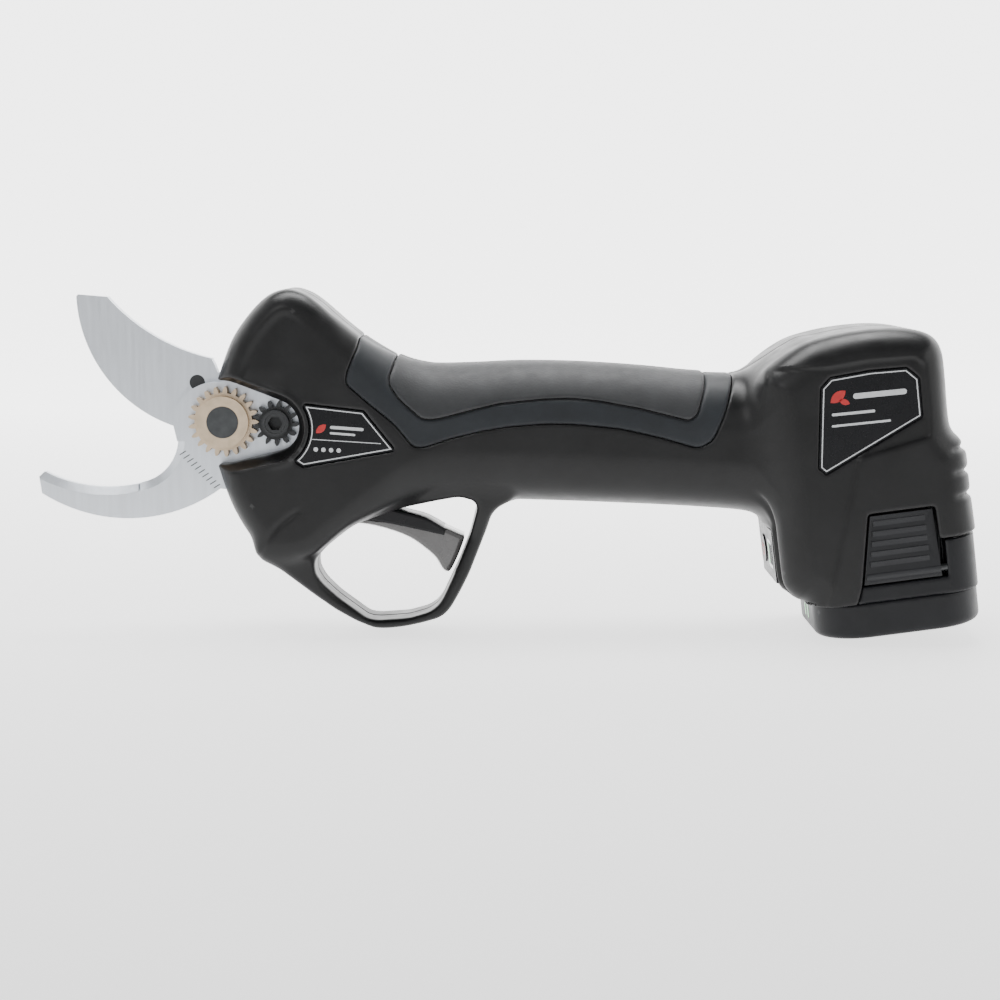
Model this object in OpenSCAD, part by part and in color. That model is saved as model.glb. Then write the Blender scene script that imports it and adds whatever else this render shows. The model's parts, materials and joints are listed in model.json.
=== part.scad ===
// Battery electric pruner: a curved moving blade bypasses a hooked fixed
// blade, driven by a motor, a planetary stage and a bevel sector.
// Lengths are millimetres. Every module is drawn with the blade pivot at
// its origin, +X to the rear, +Z up, and place() stands the tool up.

/* [Blades] */
// Angle that the moving blade closes through
jaw_travel = 55; // [40:1:58]
// Thickness of the moving blade
cutter_t = 3.5; // [2.5:0.1:3.6]
// Thickness of the fixed blade
hook_t = 4; // [3:0.1:4.2]
// Radius of the moving blade's cutting edge
cutter_edge_r = 39.6; // [39:0.1:41]
// Radius of the pivot bolt's shank
bolt_r = 4.4; // [3.5:0.1:4.6]

/* [Head] */
// Half width of the head casing
head_half_w = 16.5; // [15.5:0.1:18]
// Wall thickness of the casings
wall = 2.4; // [1.8:0.1:2.6]

/* [Handle] */
// Half width of the handle
grip_half_w = 17; // [16.8:0.1:19]
// Depth of the rubber inlays
inlay_t = 1.2; // [0.8:0.1:1.4]
// Slope of the drive axis, down to the rear
drive_tilt = 2.2; // [1.5:0.1:2.6]

/* [Gears] */
// Teeth on the blade nut
nut_teeth = 21; // [21:1:21]
// Teeth on the lock gear
lock_teeth = 13; // [13:1:13]
// Module of the nut and lock gear
nut_module = 0.86; // [0.8:0.01:0.88]
// Teeth of the sector, counted round a full circle
sector_teeth = 54; // [54:1:54]
// Teeth on the bevel pinion
pinion_teeth = 11; // [11:1:11]
// Module of the planetary stage
planet_module = 0.6; // [0.56:0.01:0.6]
// Width of the planet gears
planet_w = 5.4; // [4:0.1:5.6]

/* [Motor] */
// Outer radius of the motor
motor_r = 14; // [12:0.1:14.2]
// Length of the motor can
motor_l = 46; // [40:1:50]

/* [Battery] */
// Tilt of the battery, foot to the rear
pack_tilt = 7.5; // [6:0.1:9]
// Cell diameter
cell_d = 18.4; // [18:0.1:18.6]
// Cell length
cell_l = 65; // [60:0.5:66]
// Height of the battery's foot
base_h = 10; // [8:0.5:11]
// Half length of the battery's foot
base_half_l = 24.5; // [24:0.5:27.5]
// Half width of the battery's foot
base_half_w = 23.6; // [22:0.1:24]
// Press travel of the battery catches, in degrees
catch_travel = 3.5; // [2:0.5:3.5]

/* [Stance] */
// Height of the pivot over the surface that the tool stands on
rest_h = 60.6; // [60:0.1:61]
// Distance from the pivot back to the middle of the length
mid_x = 80.8; // [80:0.1:82]

/* [Hidden] */

eps = 0.05;
run = 0.05;                     // running clearance on a radius
round_fn = 64;
blend_fn = 24;
shell_fn = 20;
slice_t = 0.5;                  // thickness of a loft's stations

// Thickness plan of the head, along Y: the blades meet at Y 0
land_y = -hook_t;
nut_top = -9;
bush_end = 8;
bolt_head_t = 4.3;
bolt_head_r = 8;
bush_r = 6;
stud_at = [-8.2, 10.5];
stud_r = 2.2;
root_r = 13.5;

// Nut and lock gear
lock_at = [nut_module * (nut_teeth + lock_teeth) / 2, -0.4];
lock_x = sqrt(pow(lock_at[0], 2) - pow(lock_at[1], 2));
gear_bottom = land_y - 0.3;
gear_top = land_y - 3.2;
nut_collar_r = 7.2;
lock_collar_r = 3.85;
lock_screw_r = 2.8;

// Bevel pair: both pitch cones have their tip at the pivot
bevel_in = 26;
bevel_out = 32;
bevel_slope = pinion_teeth / sector_teeth;
bevel_unit = 2 * bevel_slope / pinion_teeth;   // module per millimetre of radius
sector_pitch = 360 / sector_teeth;
sector_first = -9;
sector_last = 1;
sector_y = 10.4;
bevel_backlash = 0.006;         // per millimetre of radius

// Planetary stage
sun_teeth = 12;
planet_teeth = 15;
ring_teeth = sun_teeth + 2 * planet_teeth;
planet_orbit = planet_module * (sun_teeth + planet_teeth) / 2;
planet_backlash = 0.12;
planet_u = 44.8;
planet_pin_r = 1.2;
shaft_r = 1.5;
journal_r = 4.95;
bearing_r = 9.5;
bearing_u = [35, 41];
carrier_u = [41.4, 44.4];
ring_r = 14.2;
motor_u = 53.5;
motor_end_u = motor_u + motor_l;

// Battery frame: origin in the middle of the foot's underside
pack_at = [188, -57.4];
cells_w = 3.5;
case_top = 74.5;
case_u = [-24.6, 20.2];
case_corner = 9;
case_half_w = 21.2;
case_wall = 2.2;
tail_u = [13.4, 24.5];
tail_half_w = 23.4;
tail_top = 24.9;
bay_gap = 0.4;
catch_outline = [[-8.6, 15.2], [-5.2, 34], [11.8, 34], [12.8, 15.2]];
catch_y = [21.4, 23.8];
catch_pin = [22.2, 17.2];       // Y and height of the catch's hinge
catch_pin_r = 1;

// Casing screws, as X and Z
screw_places = [
    [24, 31.5], [17, -38], [38, 19], [107, -15], [107, 9.5],
    [149.5, -22.2], [146, 9.3], [188.5, 23]
];
screw_r = 1.4;

// Side view stations of the body: X, bottom, top, half width
stations = [
    [-0.8, -13, 12.8, head_half_w - 2.2], [1.2, -23, 20.4, head_half_w - 1.4],
    [7, -37.2, 30.6, head_half_w - 0.8], [13, -38, 36.2, head_half_w - 0.4],
    [18.5, -38, 37.3, head_half_w], [27, -36.5, 34.4, head_half_w + 0.3],
    [35, -30.4, 27.6, grip_half_w - 0.2], [44, -26.4, 21.4, grip_half_w],
    [52, -24, 17.2, grip_half_w], [61, -22.2, 15.7, grip_half_w],
    [84, -22.5, 16.5, grip_half_w], [117, -23.7, 15.1, grip_half_w],
    [140, -24.9, 13.3, grip_half_w + 0.6], [153, -26.5, 14, grip_half_w + 1.4]
];

// Block stations in the battery frame: height, front, rear, half width, corner radius
block = [
    [base_h + 0.1, -26.5, 25.2, 22.6, 12], [13.5, -28.4, 25.2, 23.6, 12],
    [18, -30.4, 25.2, 24, 11],
    [47, -30.5, 24.6, 24, 11], [55, -30.7, 22.4, 24, 11], [76, -30.3, 21.8, 23.2, 11],
    [81.5, -23.5, 16.8, 20.4, 10], [84, -15, 9, 15, 9]
];

// Points of an arc, by angle
function arc(c, r, a0, a1, n = 16) =
    [for (i = [0:n]) let (a = a0 + (a1 - a0) * i / n) c + r * [cos(a), sin(a)]];

function superellipse(w, lo, hi, n, steps = blend_fn) =
    [for (i = [0:steps - 1]) let (a = 360 * (i + 0.5) / steps)
        [w * sign(cos(a)) * pow(abs(cos(a)), 2 / n),
         (lo + hi) / 2 + (hi - lo) / 2 * sign(sin(a)) * pow(abs(sin(a)), 2 / n)]];

// Involute gear outline with a tooth on the +X axis
function involute(a) = tan(a) * 180 / PI - a;

function flank(r, base, half, pressure) =
    half + involute(pressure) - involute(acos(min(1, base / max(r, base))));

function gear_points(teeth, mod, add, ded, backlash, pressure = 20, steps = 5) =
    let (pitch = mod * teeth / 2,
         base = pitch * cos(pressure),
         tip = pitch + add * mod,
         root = pitch - ded * mod,
         half = 90 / teeth - backlash / 2 / pitch * 180 / PI,
         low = max(base, root),
         rise = [for (i = [0:steps]) low + (tip - low) * i / steps],
         radii = root < base ? concat([root], rise) : rise,
         last = len(radii) - 1)
    [for (t = [0:teeth - 1], i = [0:2 * last + 1])
        let (up = i <= last,
             r = radii[up ? i : 2 * last + 1 - i],
             a = 360 * t / teeth + (up ? -1 : 1) * flank(r, base, half, pressure))
        r * [cos(a), sin(a)]];

// A round tube along a list of points
function unit(v) = v / norm(v);

function tube_rings(path, r, sides, up) =
    [for (i = [0:len(path) - 1])
        let (t = unit(path[min(i + 1, len(path) - 1)] - path[max(i - 1, 0)]),
             n = unit(cross(t, up)),
             b = cross(t, n))
        [for (k = [0:sides - 1])
            path[i] + r * (n * cos(360 * k / sides) + b * sin(360 * k / sides))]];

module tube(path, r, sides = 8, up = [0, 1, 0]) {
    rings = tube_rings(path, r, sides, up);
    last = len(path) - 1;
    faces = concat(
        [[for (k = [0:sides - 1]) k]],
        [for (i = [0:last - 1], k = [0:sides - 1])
            [i * sides + k, (i + 1) * sides + k, (i + 1) * sides + (k + 1) % sides,
             i * sides + (k + 1) % sides]],
        [[for (k = [sides - 1:-1:0]) last * sides + k]]);
    polyhedron([for (ring = rings, p = ring) p], faces, convexity = 6);
}

// Frames
module place() translate([-mid_x, 0, rest_h]) children();

// A flat outline in X and Z, made solid from Y y0 to y1
module plate(y0, y1) translate([0, y1, 0]) rotate([90, 0, 0]) linear_extrude(y1 - y0) children();

// Z runs back along the drive axis, X points down
module on_drive(u = 0) rotate([0, 90 + drive_tilt, 0]) translate([0, 0, u]) children();

module on_pack(w = 0)
    translate([pack_at[0], 0, pack_at[1]]) rotate([0, -pack_tilt, 0]) translate([0, 0, w])
        children();

module disc_y(at, r, y0, y1, fn = round_fn) plate(y0, y1) translate(at) circle(r, $fn = fn);

module ring_y(at, r, hole, y0, y1)
    plate(y0, y1) translate(at) difference() {
        circle(r, $fn = round_fn);
        circle(hole, $fn = round_fn);
    }

module washer(r, hole, h) linear_extrude(h) difference() {
    circle(r, $fn = round_fn);
    circle(hole, $fn = round_fn);
}

module round_box(u0, u1, w, r, fn = round_fn)
    for (k = [0, 1]) {
        translate([u0 + k * r, -w + (1 - k) * r])
            square([u1 - u0 - 2 * k * r, 2 * w - 2 * (1 - k) * r]);
        for (x = [u0 + r, u1 - r]) translate([x, (2 * k - 1) * (w - r)]) circle(r, $fn = fn);
    }

// Blades ---------------------------------------------------------------

cutter_edge_c = [-2.1, 35.5];
cutter_back_c = [7.7, 70];
cutter_back_r = 54;

module cutter_outline() {
    polygon(concat(
        [[-4.2, 17.3], [-3.4, 16]],
        arc([0, 0], root_r, 100, 187, 10),
        arc(cutter_edge_c, cutter_edge_r, 251, 181, 30),
        [[-41.2, 35.3], [-33, 34.6]],
        arc(cutter_back_c, cutter_back_r, 223, 258, 16)));
}

module moving_blade()
    color([0.78, 0.8, 0.82]) place() difference() {
        union() {
            intersection() {
                plate(0, cutter_t) cutter_outline();
                translate([cutter_edge_c[0], 0, cutter_edge_c[1]]) rotate([-90, 0, 0])
                    cylinder(r1 = cutter_edge_r + 0.6, r2 = cutter_edge_r - 7, h = cutter_t,
                             $fn = 96);
            }
            disc_y([0, 0], root_r, 0, cutter_t);
        }
        disc_y([0, 0], bush_r, -1, cutter_t + 1);
        disc_y(stud_at, stud_r, -1, cutter_t + 1);
    }

hook_low_c = [-27.9, 16.9];
hook_low_r = 44.7;
hook_top_c = [-33.8, 19.1];
hook_top_r = 38.1;
throat_c = [-26.7, -4.8];
throat_r = 13.1;
ear_x = 34;
ear_z = [9.2, 15];
frame_screw_at = [29.5, 12.1];  // X and half spacing
frame_z = 14.9;
hook_bevel = 2.2;

module hook_outline()
    polygon(concat(
        arc(hook_low_c, hook_low_r, 237, 306, 24),
        [[9, -20.5], [22, -17], [ear_x, -ear_z[1]], [ear_x, -ear_z[0]], [24.6, -ear_z[0]],
         [24.6, ear_z[0]], [ear_x, ear_z[0]], [ear_x, ear_z[1]], [22, 16], [8, 13.4]],
        arc([-2.7, -1.1], 11.9, 84, 181, 14),
        arc(throat_c, throat_r, 356, 282, 14),
        arc(hook_top_c, hook_top_r, 284, 242, 16),
        [[-52.9, -15.8]]));

module hook_bevels() {
    translate([hook_top_c[0], 0, hook_top_c[1]]) rotate([-90, 0, 0]) intersection() {
        translate([0, 0, land_y - eps])
            cylinder(r1 = hook_top_r + hook_bevel, r2 = hook_top_r - 0.1, h = 1.8, $fn = 96);
        translate([-19, 30, land_y - 1]) cube([27.8, 12, 4]);
    }
    translate([throat_c[0], 0, throat_c[1]]) rotate([-90, 0, 0]) intersection() {
        translate([0, 0, land_y - eps])
            cylinder(r1 = throat_r + hook_bevel, r2 = throat_r - 0.1, h = 1.8, $fn = 96);
        translate([1.9, 1, land_y - 1]) cube([14, 16, 4]);
    }
}

module fixed_blade()
    color([0.74, 0.76, 0.78]) place() difference() {
        plate(land_y, 0) hook_outline();
        hook_bevels();
        disc_y([0, 0], bolt_r, land_y - 1, 1);
        disc_y([lock_x, lock_at[1]], 1.9, land_y - 1, -0.8);
        for (s = [-1, 1]) disc_y([frame_screw_at[0], s * frame_screw_at[1]], 2, land_y - 1, 1);
    }

module pivot_bolt()
    color([0.22, 0.23, 0.25]) place() {
        disc_y([0, 0], bolt_r, nut_top - 0.2, bush_end + 0.2);
        difference() {
            disc_y([0, 0], bolt_head_r, bush_end + 0.2, bush_end + 0.2 + bolt_head_t);
            plate(bush_end + 2.4, bush_end + 6) circle(3.5, $fn = 6);
        }
    }

module pivot_bush()
    color([0.7, 0.55, 0.3]) place() ring_y([0, 0], bush_r, bolt_r + run, 0, bush_end);

module blade_nut()
    color([0.76, 0.67, 0.56]) place() difference() {
        union() {
            plate(gear_top, gear_bottom)
                polygon(gear_points(nut_teeth, nut_module, 0.95, 1.1, 0.22));
            disc_y([0, 0], nut_collar_r, nut_top, land_y);
        }
        disc_y([0, 0], bolt_r + run, nut_top - 1, land_y + 1);
    }

module lock_gear()
    color([0.07, 0.07, 0.08]) place() translate([lock_x, 0, lock_at[1]]) difference() {
        union() {
            plate(gear_top, gear_bottom)
                rotate(180 + 180 / lock_teeth + atan2(lock_at[1], lock_x)
                       * (1 + nut_teeth / lock_teeth))
                    polygon(gear_points(lock_teeth, nut_module, 0.95, 1.1, 0.22));
            disc_y([0, 0], lock_collar_r, gear_top - 1.2, gear_bottom);
        }
        disc_y([0, 0], lock_screw_r + run, gear_top - 2, 1);
    }

module lock_screw()
    color([0.1, 0.1, 0.11]) place() translate([lock_x, 0, lock_at[1]]) {
        difference() {
            disc_y([0, 0], lock_screw_r, gear_top - 1, land_y);
            plate(gear_top - 2, gear_top + 1.6) circle(2.05, $fn = 6);
        }
        disc_y([0, 0], 1.9, land_y, -0.8);
    }

module drive_dowels()
    color([0.5, 0.51, 0.52]) place() {
        disc_y(stud_at, stud_r, 0, 7);
    }

// Gear train -------------------------------------------------------------

module bevel_tooth() {
    root_y = bevel_slope + 1.1 * bevel_unit;
    tip_y = bevel_slope - 0.6 * bevel_unit;
    deep_y = root_y + 0.6 * bevel_unit;
    mid = PI * bevel_unit / 4 - bevel_backlash / 2;
    half = [mid + tan(20) * (deep_y - bevel_slope), mid - tan(20) * (bevel_slope - tip_y)];
    section = [[half[0], deep_y], [half[1], tip_y], [-half[1], tip_y], [-half[0], deep_y]];
    points = [for (r = [bevel_in, bevel_out], p = section) r * [1, p[1], p[0]]];
    polyhedron(points, [[0, 1, 2, 3], [7, 6, 5, 4], [0, 4, 5, 1], [1, 5, 6, 2], [2, 6, 7, 3],
                        [3, 7, 4, 0]]);
}

module sector_gear()
    color([0.45, 0.46, 0.48]) place() {
        a0 = -drive_tilt + (sector_first - 0.5) * sector_pitch;
        a1 = -drive_tilt + (sector_last + 0.5) * sector_pitch;
        root = bevel_slope + 1.1 * bevel_unit;
        difference() {
            union() {
                rotate([90, 0, 0]) rotate([0, 0, a0]) rotate_extrude(angle = a1 - a0, $fn = 96)
                    polygon([[bevel_in - 1, -root * (bevel_in - 1)],
                             [bevel_out + 0.6, -root * (bevel_out + 0.6)],
                             [bevel_out + 0.6, -sector_y], [bevel_in - 1, -sector_y]]);
                rotate([90, 0, 0]) rotate([0, 0, a0 + 4])
                    rotate_extrude(angle = a1 - a0 - 8, $fn = 96)
                        polygon([[6.5, -4.6], [bevel_in - 1.5, -6.6], [bevel_in + 1, -7.4],
                                 [bevel_in + 1, -9.6], [12, -7.7], [6.5, -7.7]]);
                disc_y([0, 0], 11.5, cutter_t, bush_end);
                plate(cutter_t, 7) polygon([[-10, -4], [-12, 8], [-10.6, 12.6], [-6.4, 13.6],
                                            [2, 11], [4, 0]]);
            }
            disc_y([0, 0], bush_r, 0, bush_end + 1);
            disc_y(stud_at, stud_r, 0, bush_end + 1);
        }
        for (k = [sector_first:sector_last])
            rotate([0, drive_tilt - k * sector_pitch, 0]) bevel_tooth();
    }

module gear_frame()
    color([0.62, 0.63, 0.65]) place() difference() {
        union() {
            rotate([0, drive_tilt, 0]) translate([bearing_u[0] - 0.4, 0, 0]) {
                translate([0, -12.5, -14.6]) cube([6.4, 25, 29.2]);
            }
            for (s = [-1, 1]) plate(nut_top, land_y)
                polygon([[25.2, s * ear_z[0]], [36.5, s * ear_z[0]], [36.5, s * frame_z],
                         [27, s * frame_z], [25.2, s * 13.2]]);
        }
        on_drive(bearing_u[0] - 2) cylinder(r = bearing_r, h = 12, $fn = round_fn);
        for (s = [-1, 1]) disc_y([frame_screw_at[0], s * frame_screw_at[1]], 2, nut_top - 1, 1);
    }

module frame_screws()
    color([0.3, 0.3, 0.32]) place() for (s = [-1, 1])
        translate([frame_screw_at[0], 0, s * frame_screw_at[1]]) {
        disc_y([0, 0], 2, nut_top, 0);
        difference() {
            disc_y([0, 0], 3.4, nut_top - 2.4, nut_top);
            plate(nut_top - 3, nut_top - 1) circle(1.7, $fn = 6);
        }
    }

module bevel_pinion()
    color([0.55, 0.56, 0.58]) place() {
        on_drive(bevel_in) rotate(90 + 180 / pinion_teeth)
            linear_extrude(bevel_out - bevel_in, scale = bevel_out / bevel_in)
                polygon(gear_points(pinion_teeth, bevel_unit * bevel_in, 0.9, 0.85,
                                    bevel_backlash * bevel_in, steps = 4));
        on_drive(bevel_out) cylinder(r = 5.6, h = bearing_u[0] - bevel_out, $fn = round_fn);
        on_drive(bearing_u[0]) cylinder(r = journal_r, h = carrier_u[0] - bearing_u[0],
                                        $fn = round_fn);
        on_drive(carrier_u[0])
            cylinder(r = planet_orbit + 2.6, h = carrier_u[1] - carrier_u[0], $fn = round_fn);
        for (k = [0:2]) on_drive(carrier_u[1]) rotate(90 + 120 * k) translate([planet_orbit, 0])
            cylinder(r = planet_pin_r, h = planet_w + 0.8, $fn = round_fn);
    }

module pinion_bearing()
    color([0.6, 0.61, 0.63]) place() on_drive(bearing_u[0])
        washer(bearing_r, journal_r + run, bearing_u[1] - bearing_u[0]);

module planet_gear(k) {
    at = 90 + 120 * k;
    turn = at + 180 - 360 / planet_teeth * (0.5 - at * sun_teeth / 360);
    color([0.72, 0.7, 0.64]) place() on_drive(planet_u) rotate(at) translate([planet_orbit, 0])
        rotate(turn - at) linear_extrude(planet_w) difference() {
            polygon(gear_points(planet_teeth, planet_module, 0.8, 1.05, planet_backlash));
            circle(planet_pin_r + run, $fn = round_fn);
        }
}

module ring_gear()
    color([0.4, 0.41, 0.43]) place() {
        on_drive(planet_u - 0.2) linear_extrude(planet_w + 0.6) difference() {
            circle(ring_r, $fn = round_fn);
            rotate(180 / ring_teeth)
                polygon(gear_points(ring_teeth, planet_module, 1.1, 0.65, -planet_backlash));
        }
        on_drive(bearing_u[1] + 0.2) washer(ring_r, ring_r - 1.2, planet_u - bearing_u[1] - 0.4);
        on_drive(planet_u + planet_w + 0.4)
            washer(ring_r, 4.6, motor_u - planet_u - planet_w - 0.4);
    }

module motor_can()
    color([0.5, 0.51, 0.53]) place() {
        on_drive(motor_u) washer(motor_r, 3.5, 1.2);
        on_drive(motor_u + 1.2) washer(motor_r, motor_r - 1.4, motor_l - 1.2);
    }

module motor_magnets()
    color([0.25, 0.25, 0.27]) place() on_drive(motor_u + 8)
        for (s = [0, 180]) rotate(s - 60) rotate_extrude(angle = 120, $fn = 96)
            translate([10.4, 0]) square([motor_r - 1.45 - 10.4, 28]);

module motor_end_cap()
    color([0.12, 0.12, 0.13]) place() {
        on_drive(motor_end_u) washer(motor_r, 3.5, 2.5);
        on_drive(motor_end_u - 3) washer(motor_r - 1.4, 11, 3);
        for (s = [0, 180]) on_drive(motor_end_u - 6) rotate(s + 90)
            translate([6, -2]) cube([5, 4, 6]);
    }

module motor_bearings()
    color([0.65, 0.66, 0.68]) place() {
        on_drive(motor_u) washer(3.5, shaft_r + run, 3);
        on_drive(motor_end_u - 0.5) washer(3.5, shaft_r + run, 3);
    }

module rotor()
    color([0.6, 0.5, 0.42]) place() {
        on_drive(planet_u - 0.2) linear_extrude(planet_w + 0.6)
            polygon(gear_points(sun_teeth, planet_module, 0.8, 1.05, planet_backlash));
        on_drive(planet_u + planet_w + 0.4)
            cylinder(r = shaft_r, h = motor_end_u + 2 - planet_u - planet_w - 0.4, $fn = round_fn);
        on_drive(motor_u + 8) linear_extrude(28) difference() {
            circle(9.8, $fn = round_fn);
            for (k = [0:6]) rotate(k * 360 / 7) translate([9, 0]) square([6, 1.6], center = true);
        }
        on_drive(motor_u + 6) cylinder(r = 7.6, h = 2, $fn = round_fn);
        on_drive(motor_u + 36) cylinder(r = 5.4, h = 3.5, $fn = round_fn);
    }

// Electrics --------------------------------------------------------------

board_u = [106, 142];
board_z = -6;

module motor_wires()
    color([0.7, 0.1, 0.1]) place() for (s = [-1, 1])
        tube([[103, 7 * s, -2], [105, 7 * s, -2], [108, 7 * s, -0.5], [111, 7 * s, -2],
              [112, 7 * s, -3.8]], 0.9, 8);

module main_board()
    color([0.05, 0.3, 0.15]) place() {
        translate([board_u[0], -11, board_z]) cube([board_u[1] - board_u[0], 22, 1.6]);
        for (i = [0:2], s = [-1, 1])
            translate([board_u[0] + 10 + 7 * i, 6.5 * s - 2.5, board_z + 1.6]) cube([5, 5, 1.6]);
        for (s = [-1, 1]) translate([board_u[1] - 5, 5 * s, board_z + 1.6])
            cylinder(r = 3.6, h = 9, $fn = 32);
        translate([board_u[0] + 12, -4, board_z - 1.4]) cube([8, 8, 1.4]);
    }

module power_wires()
    color([0.75, 0.12, 0.1]) place() for (s = [-1, 1])
        tube([[139, 9.6 * s, -3.4], [143, 9.5 * s, -3], [147, 9 * s, -1], [150.2, 8 * s, 3.5],
              [151, 7 * s, 8], [151.8, 6 * s, 12.6], [152.9, 5.5 * s, 14.3],
              [154.8, 5 * s, 15.2], [158.5, 4.5 * s, 16.8], [161.9, 4.4 * s, 17.1]], 0.9, 8);

module sensor_board()
    color([0.05, 0.3, 0.15]) place() {
        translate([42.5, -5, -19.2]) cube([10, 10, 1]);
        translate([44.6, -2, -20.2]) cube([3.2, 4, 1]);
    }

module bay_terminals()
    color([0.15, 0.15, 0.16]) place() on_pack() {
        translate([-16, -9, 76]) cube([14, 18, 2.6]);
        for (s = [-1, 0, 1]) translate([-13, 5.4 * s - 0.4, 71.6]) cube([8, 0.8, 4.4]);
    }

// Trigger ----------------------------------------------------------------

trigger_at = [31, -26];
trigger_half_w = 5;

module trigger()
    color([0.16, 0.16, 0.17]) place() difference() {
        union() {
            disc_y(trigger_at, 4, -trigger_half_w, trigger_half_w);
            plate(-trigger_half_w, trigger_half_w)
                polygon(concat([[31, -22], [37.5, -24.6], [48.9, -26.9], [57.5, -29.5],
                                [60.3, -31.8]],
                               arc([63.6, -35.5], 3.2, 30, -20, 4),
                               arc([62, -39.2], 2.2, -20, -140, 5),
                               [[57.4, -37], [51.7, -33.3], [44.6, -31.2], [34.6, -30.2],
                                [31, -30]]));
        }
        disc_y(trigger_at, 1.5 + run, -8, 8);
        translate([46.2, 0, -28.4]) cylinder(r = 1.6, h = 6, $fn = 48);
    }

module trigger_pin()
    color([0.6, 0.61, 0.62]) place() disc_y(trigger_at, 1.5, -9, 9);

module trigger_spring() {
    turns = 4;
    steps = 12;
    low = -24.2;
    high = -16.6;
    color([0.7, 0.7, 0.72]) place()
        tube([for (i = [0:turns * steps]) let (a = 360 * (i + 0.5) / steps)
                [38 + 2 * cos(a), 2 * sin(a), low + (high - low) * i / turns / steps]],
             0.35, 6, [0, 0, 1]);
}

module trigger_magnet()
    color([0.7, 0.7, 0.72]) place() translate([46.2, 0, -28.4])
        cylinder(r = 1.6, h = 1.8, $fn = 48);

// Casings ----------------------------------------------------------------

module body_slice(s, inset)
    translate([s[0], 0, 0]) rotate([90, 0, 90]) linear_extrude(slice_t)
        polygon(superellipse(s[3] - inset, s[1] + inset, s[2] - inset, 3.4));

module body_loft(inset)
    for (i = [0:len(stations) - 2]) hull() {
        body_slice(stations[i], inset);
        body_slice(stations[i + 1], inset);
    }

module block_slice(b, inset)
    translate([0, 0, b[0] - (b[0] > 80 ? inset : 0)]) linear_extrude(slice_t)
        round_box(b[1] + inset, b[2] - inset, b[3] - inset, b[4] - inset, shell_fn);

module block_loft(inset)
    on_pack() for (i = [0:len(block) - 2]) hull() {
        block_slice(block[i], inset);
        block_slice(block[i + 1], inset);
    }

guard_outer = concat(
    [[2.5, -27], [5.3, -35], [7, -37.3], [11.5, -40.5], [17.2, -45.2], [22.8, -49.9],
     [34.3, -57.2], [37.7, -59.6]],
    arc([48.8, -48.6], 12, 235, 330, 8),
    [[63.1, -54.9], [66, -49.9], [71.8, -37], [74.7, -28.6], [76.7, -24.6], [80.9, -21.6],
     [80, -14], [30, -14]]);
guard_inner = concat(
    [[25.3, -40.2], [25.9, -38.2], [28.8, -35], [34.6, -30.4], [37.5, -28.6], [48.9, -24.6],
     [60.4, -21.9], [66.1, -20.8]],
    arc([68.2, -24.2], 2.7, 60, -20, 4),
    [[68.9, -32.4], [66, -39.9], [61.1, -50.5], [59.7, -52.5], [57.3, -54.3], [51.6, -56],
     [42.9, -56.6], [40, -56.2], [31.5, -49.9], [27.2, -45.8], [25.5, -42.9]]);
guard_half_w = 8;

module guard_solid()
    for (k = [0:2]) let (half = guard_half_w - [0, 0.8, 1.6][k], grow = [-1.4, -0.5, 0][k])
        plate(-half, half) offset(delta = grow) polygon(guard_outer);

module teardrop(extra) hull() {
    translate([-0.3, 0]) circle(11.8 + extra, $fn = 40);
    translate([14, -0.9]) circle(7.5 + extra, $fn = 32);
}

band_outline = [
    [40, 40], [38.5, 21.8], [35.4, 14.4], [35, 11.4], [40.3, 6.7], [48.2, 0.3], [53.4, -6.1],
    [56.5, -6.4], [63.7, -3.9], [72, -1.9], [80.3, -0.5], [91.3, 0.3], [99.6, 0],
    [110.7, -1.1], [121.8, -3.6], [132.3, -6.6], [136.1, -4.4], [139.6, 3.4], [142.7, 13.6],
    [143, 40]
];
pad_outline = [
    [49.2, 40], [49, 19.1], [46.6, 11.6], [50, 6.8], [56.3, 1.4], [61, 1.8], [69.3, 4],
    [77.5, 5.9], [88.5, 7], [96.8, 7.3], [105, 6.5], [116.1, 4.5], [129.6, 1.2], [131.8, 2.9],
    [134.1, 10.1], [134.9, 14.7], [135, 40]
];

module casing_solid() {
    difference() {
        union() {
            body_loft(0);
            block_loft(0);
            guard_solid();
        }
        plate(-30, 30) polygon(guard_inner);
    }
}

module casing_hollow() {
    body_loft(wall);
    block_loft(wall);
}

notch_outline = [[-13, 5], [-9.4, 15], [-5.8, 34.8], [12.6, 34.8], [13, 25.6], [40, 26.4],
                 [40, 5]];
trigger_slot = [[26, -36], [26, -21], [32, -18], [56, -20], [56, -30]];

module casing_cuts() {
    // Slot that the blades and the sector's hub come out of
    plate(land_y - 0.2, bush_end + 0.2) polygon([[-20, -24], [-1, -24], [6, -22], [6, 18],
                                                 [-20, 18]]);
    plate(land_y - 0.2, bush_end + 0.3) circle(18.4, $fn = 40);
    plate(bush_end, bush_end + bolt_head_t + 0.5) circle(bolt_head_r + 0.6, $fn = 40);
    plate(-trigger_half_w - 0.5, trigger_half_w + 0.5) polygon(trigger_slot);
    on_pack() {
        linear_extrude(case_top + bay_gap + 1)
            round_box(case_u[0] - bay_gap, case_u[1] + bay_gap, case_half_w + bay_gap,
                      case_corner, shell_fn);
        rotate([90, 0, 0]) translate([0, 0, -30]) linear_extrude(60) polygon(notch_outline);
        // Window for the power panel
        translate([-34, -12.2, 16.3]) cube([8.2, 24.4, 15.4]);
    }
    rotate([90, 0, 0]) for (p = screw_places) translate([p[0], p[1], -20])
        cylinder(r = screw_r + 0.1, h = 32, $fn = 16);
}

module side_label_outline()
    polygon([[164.9, 10.4], [167, 12.8], [177.5, 14.7], [186.9, 15.5], [189.9, 13.1],
             [191.1, 3.4], [166.2, -11.9], [164.9, -10.8]]);

module head_label_outline() difference() {
    polygon([[20, 5.4], [39.6, 3.2], [47.4, -6.6], [23.4, -10.8], [20.6, -8.8]]);
    teardrop(4.4);
}

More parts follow.
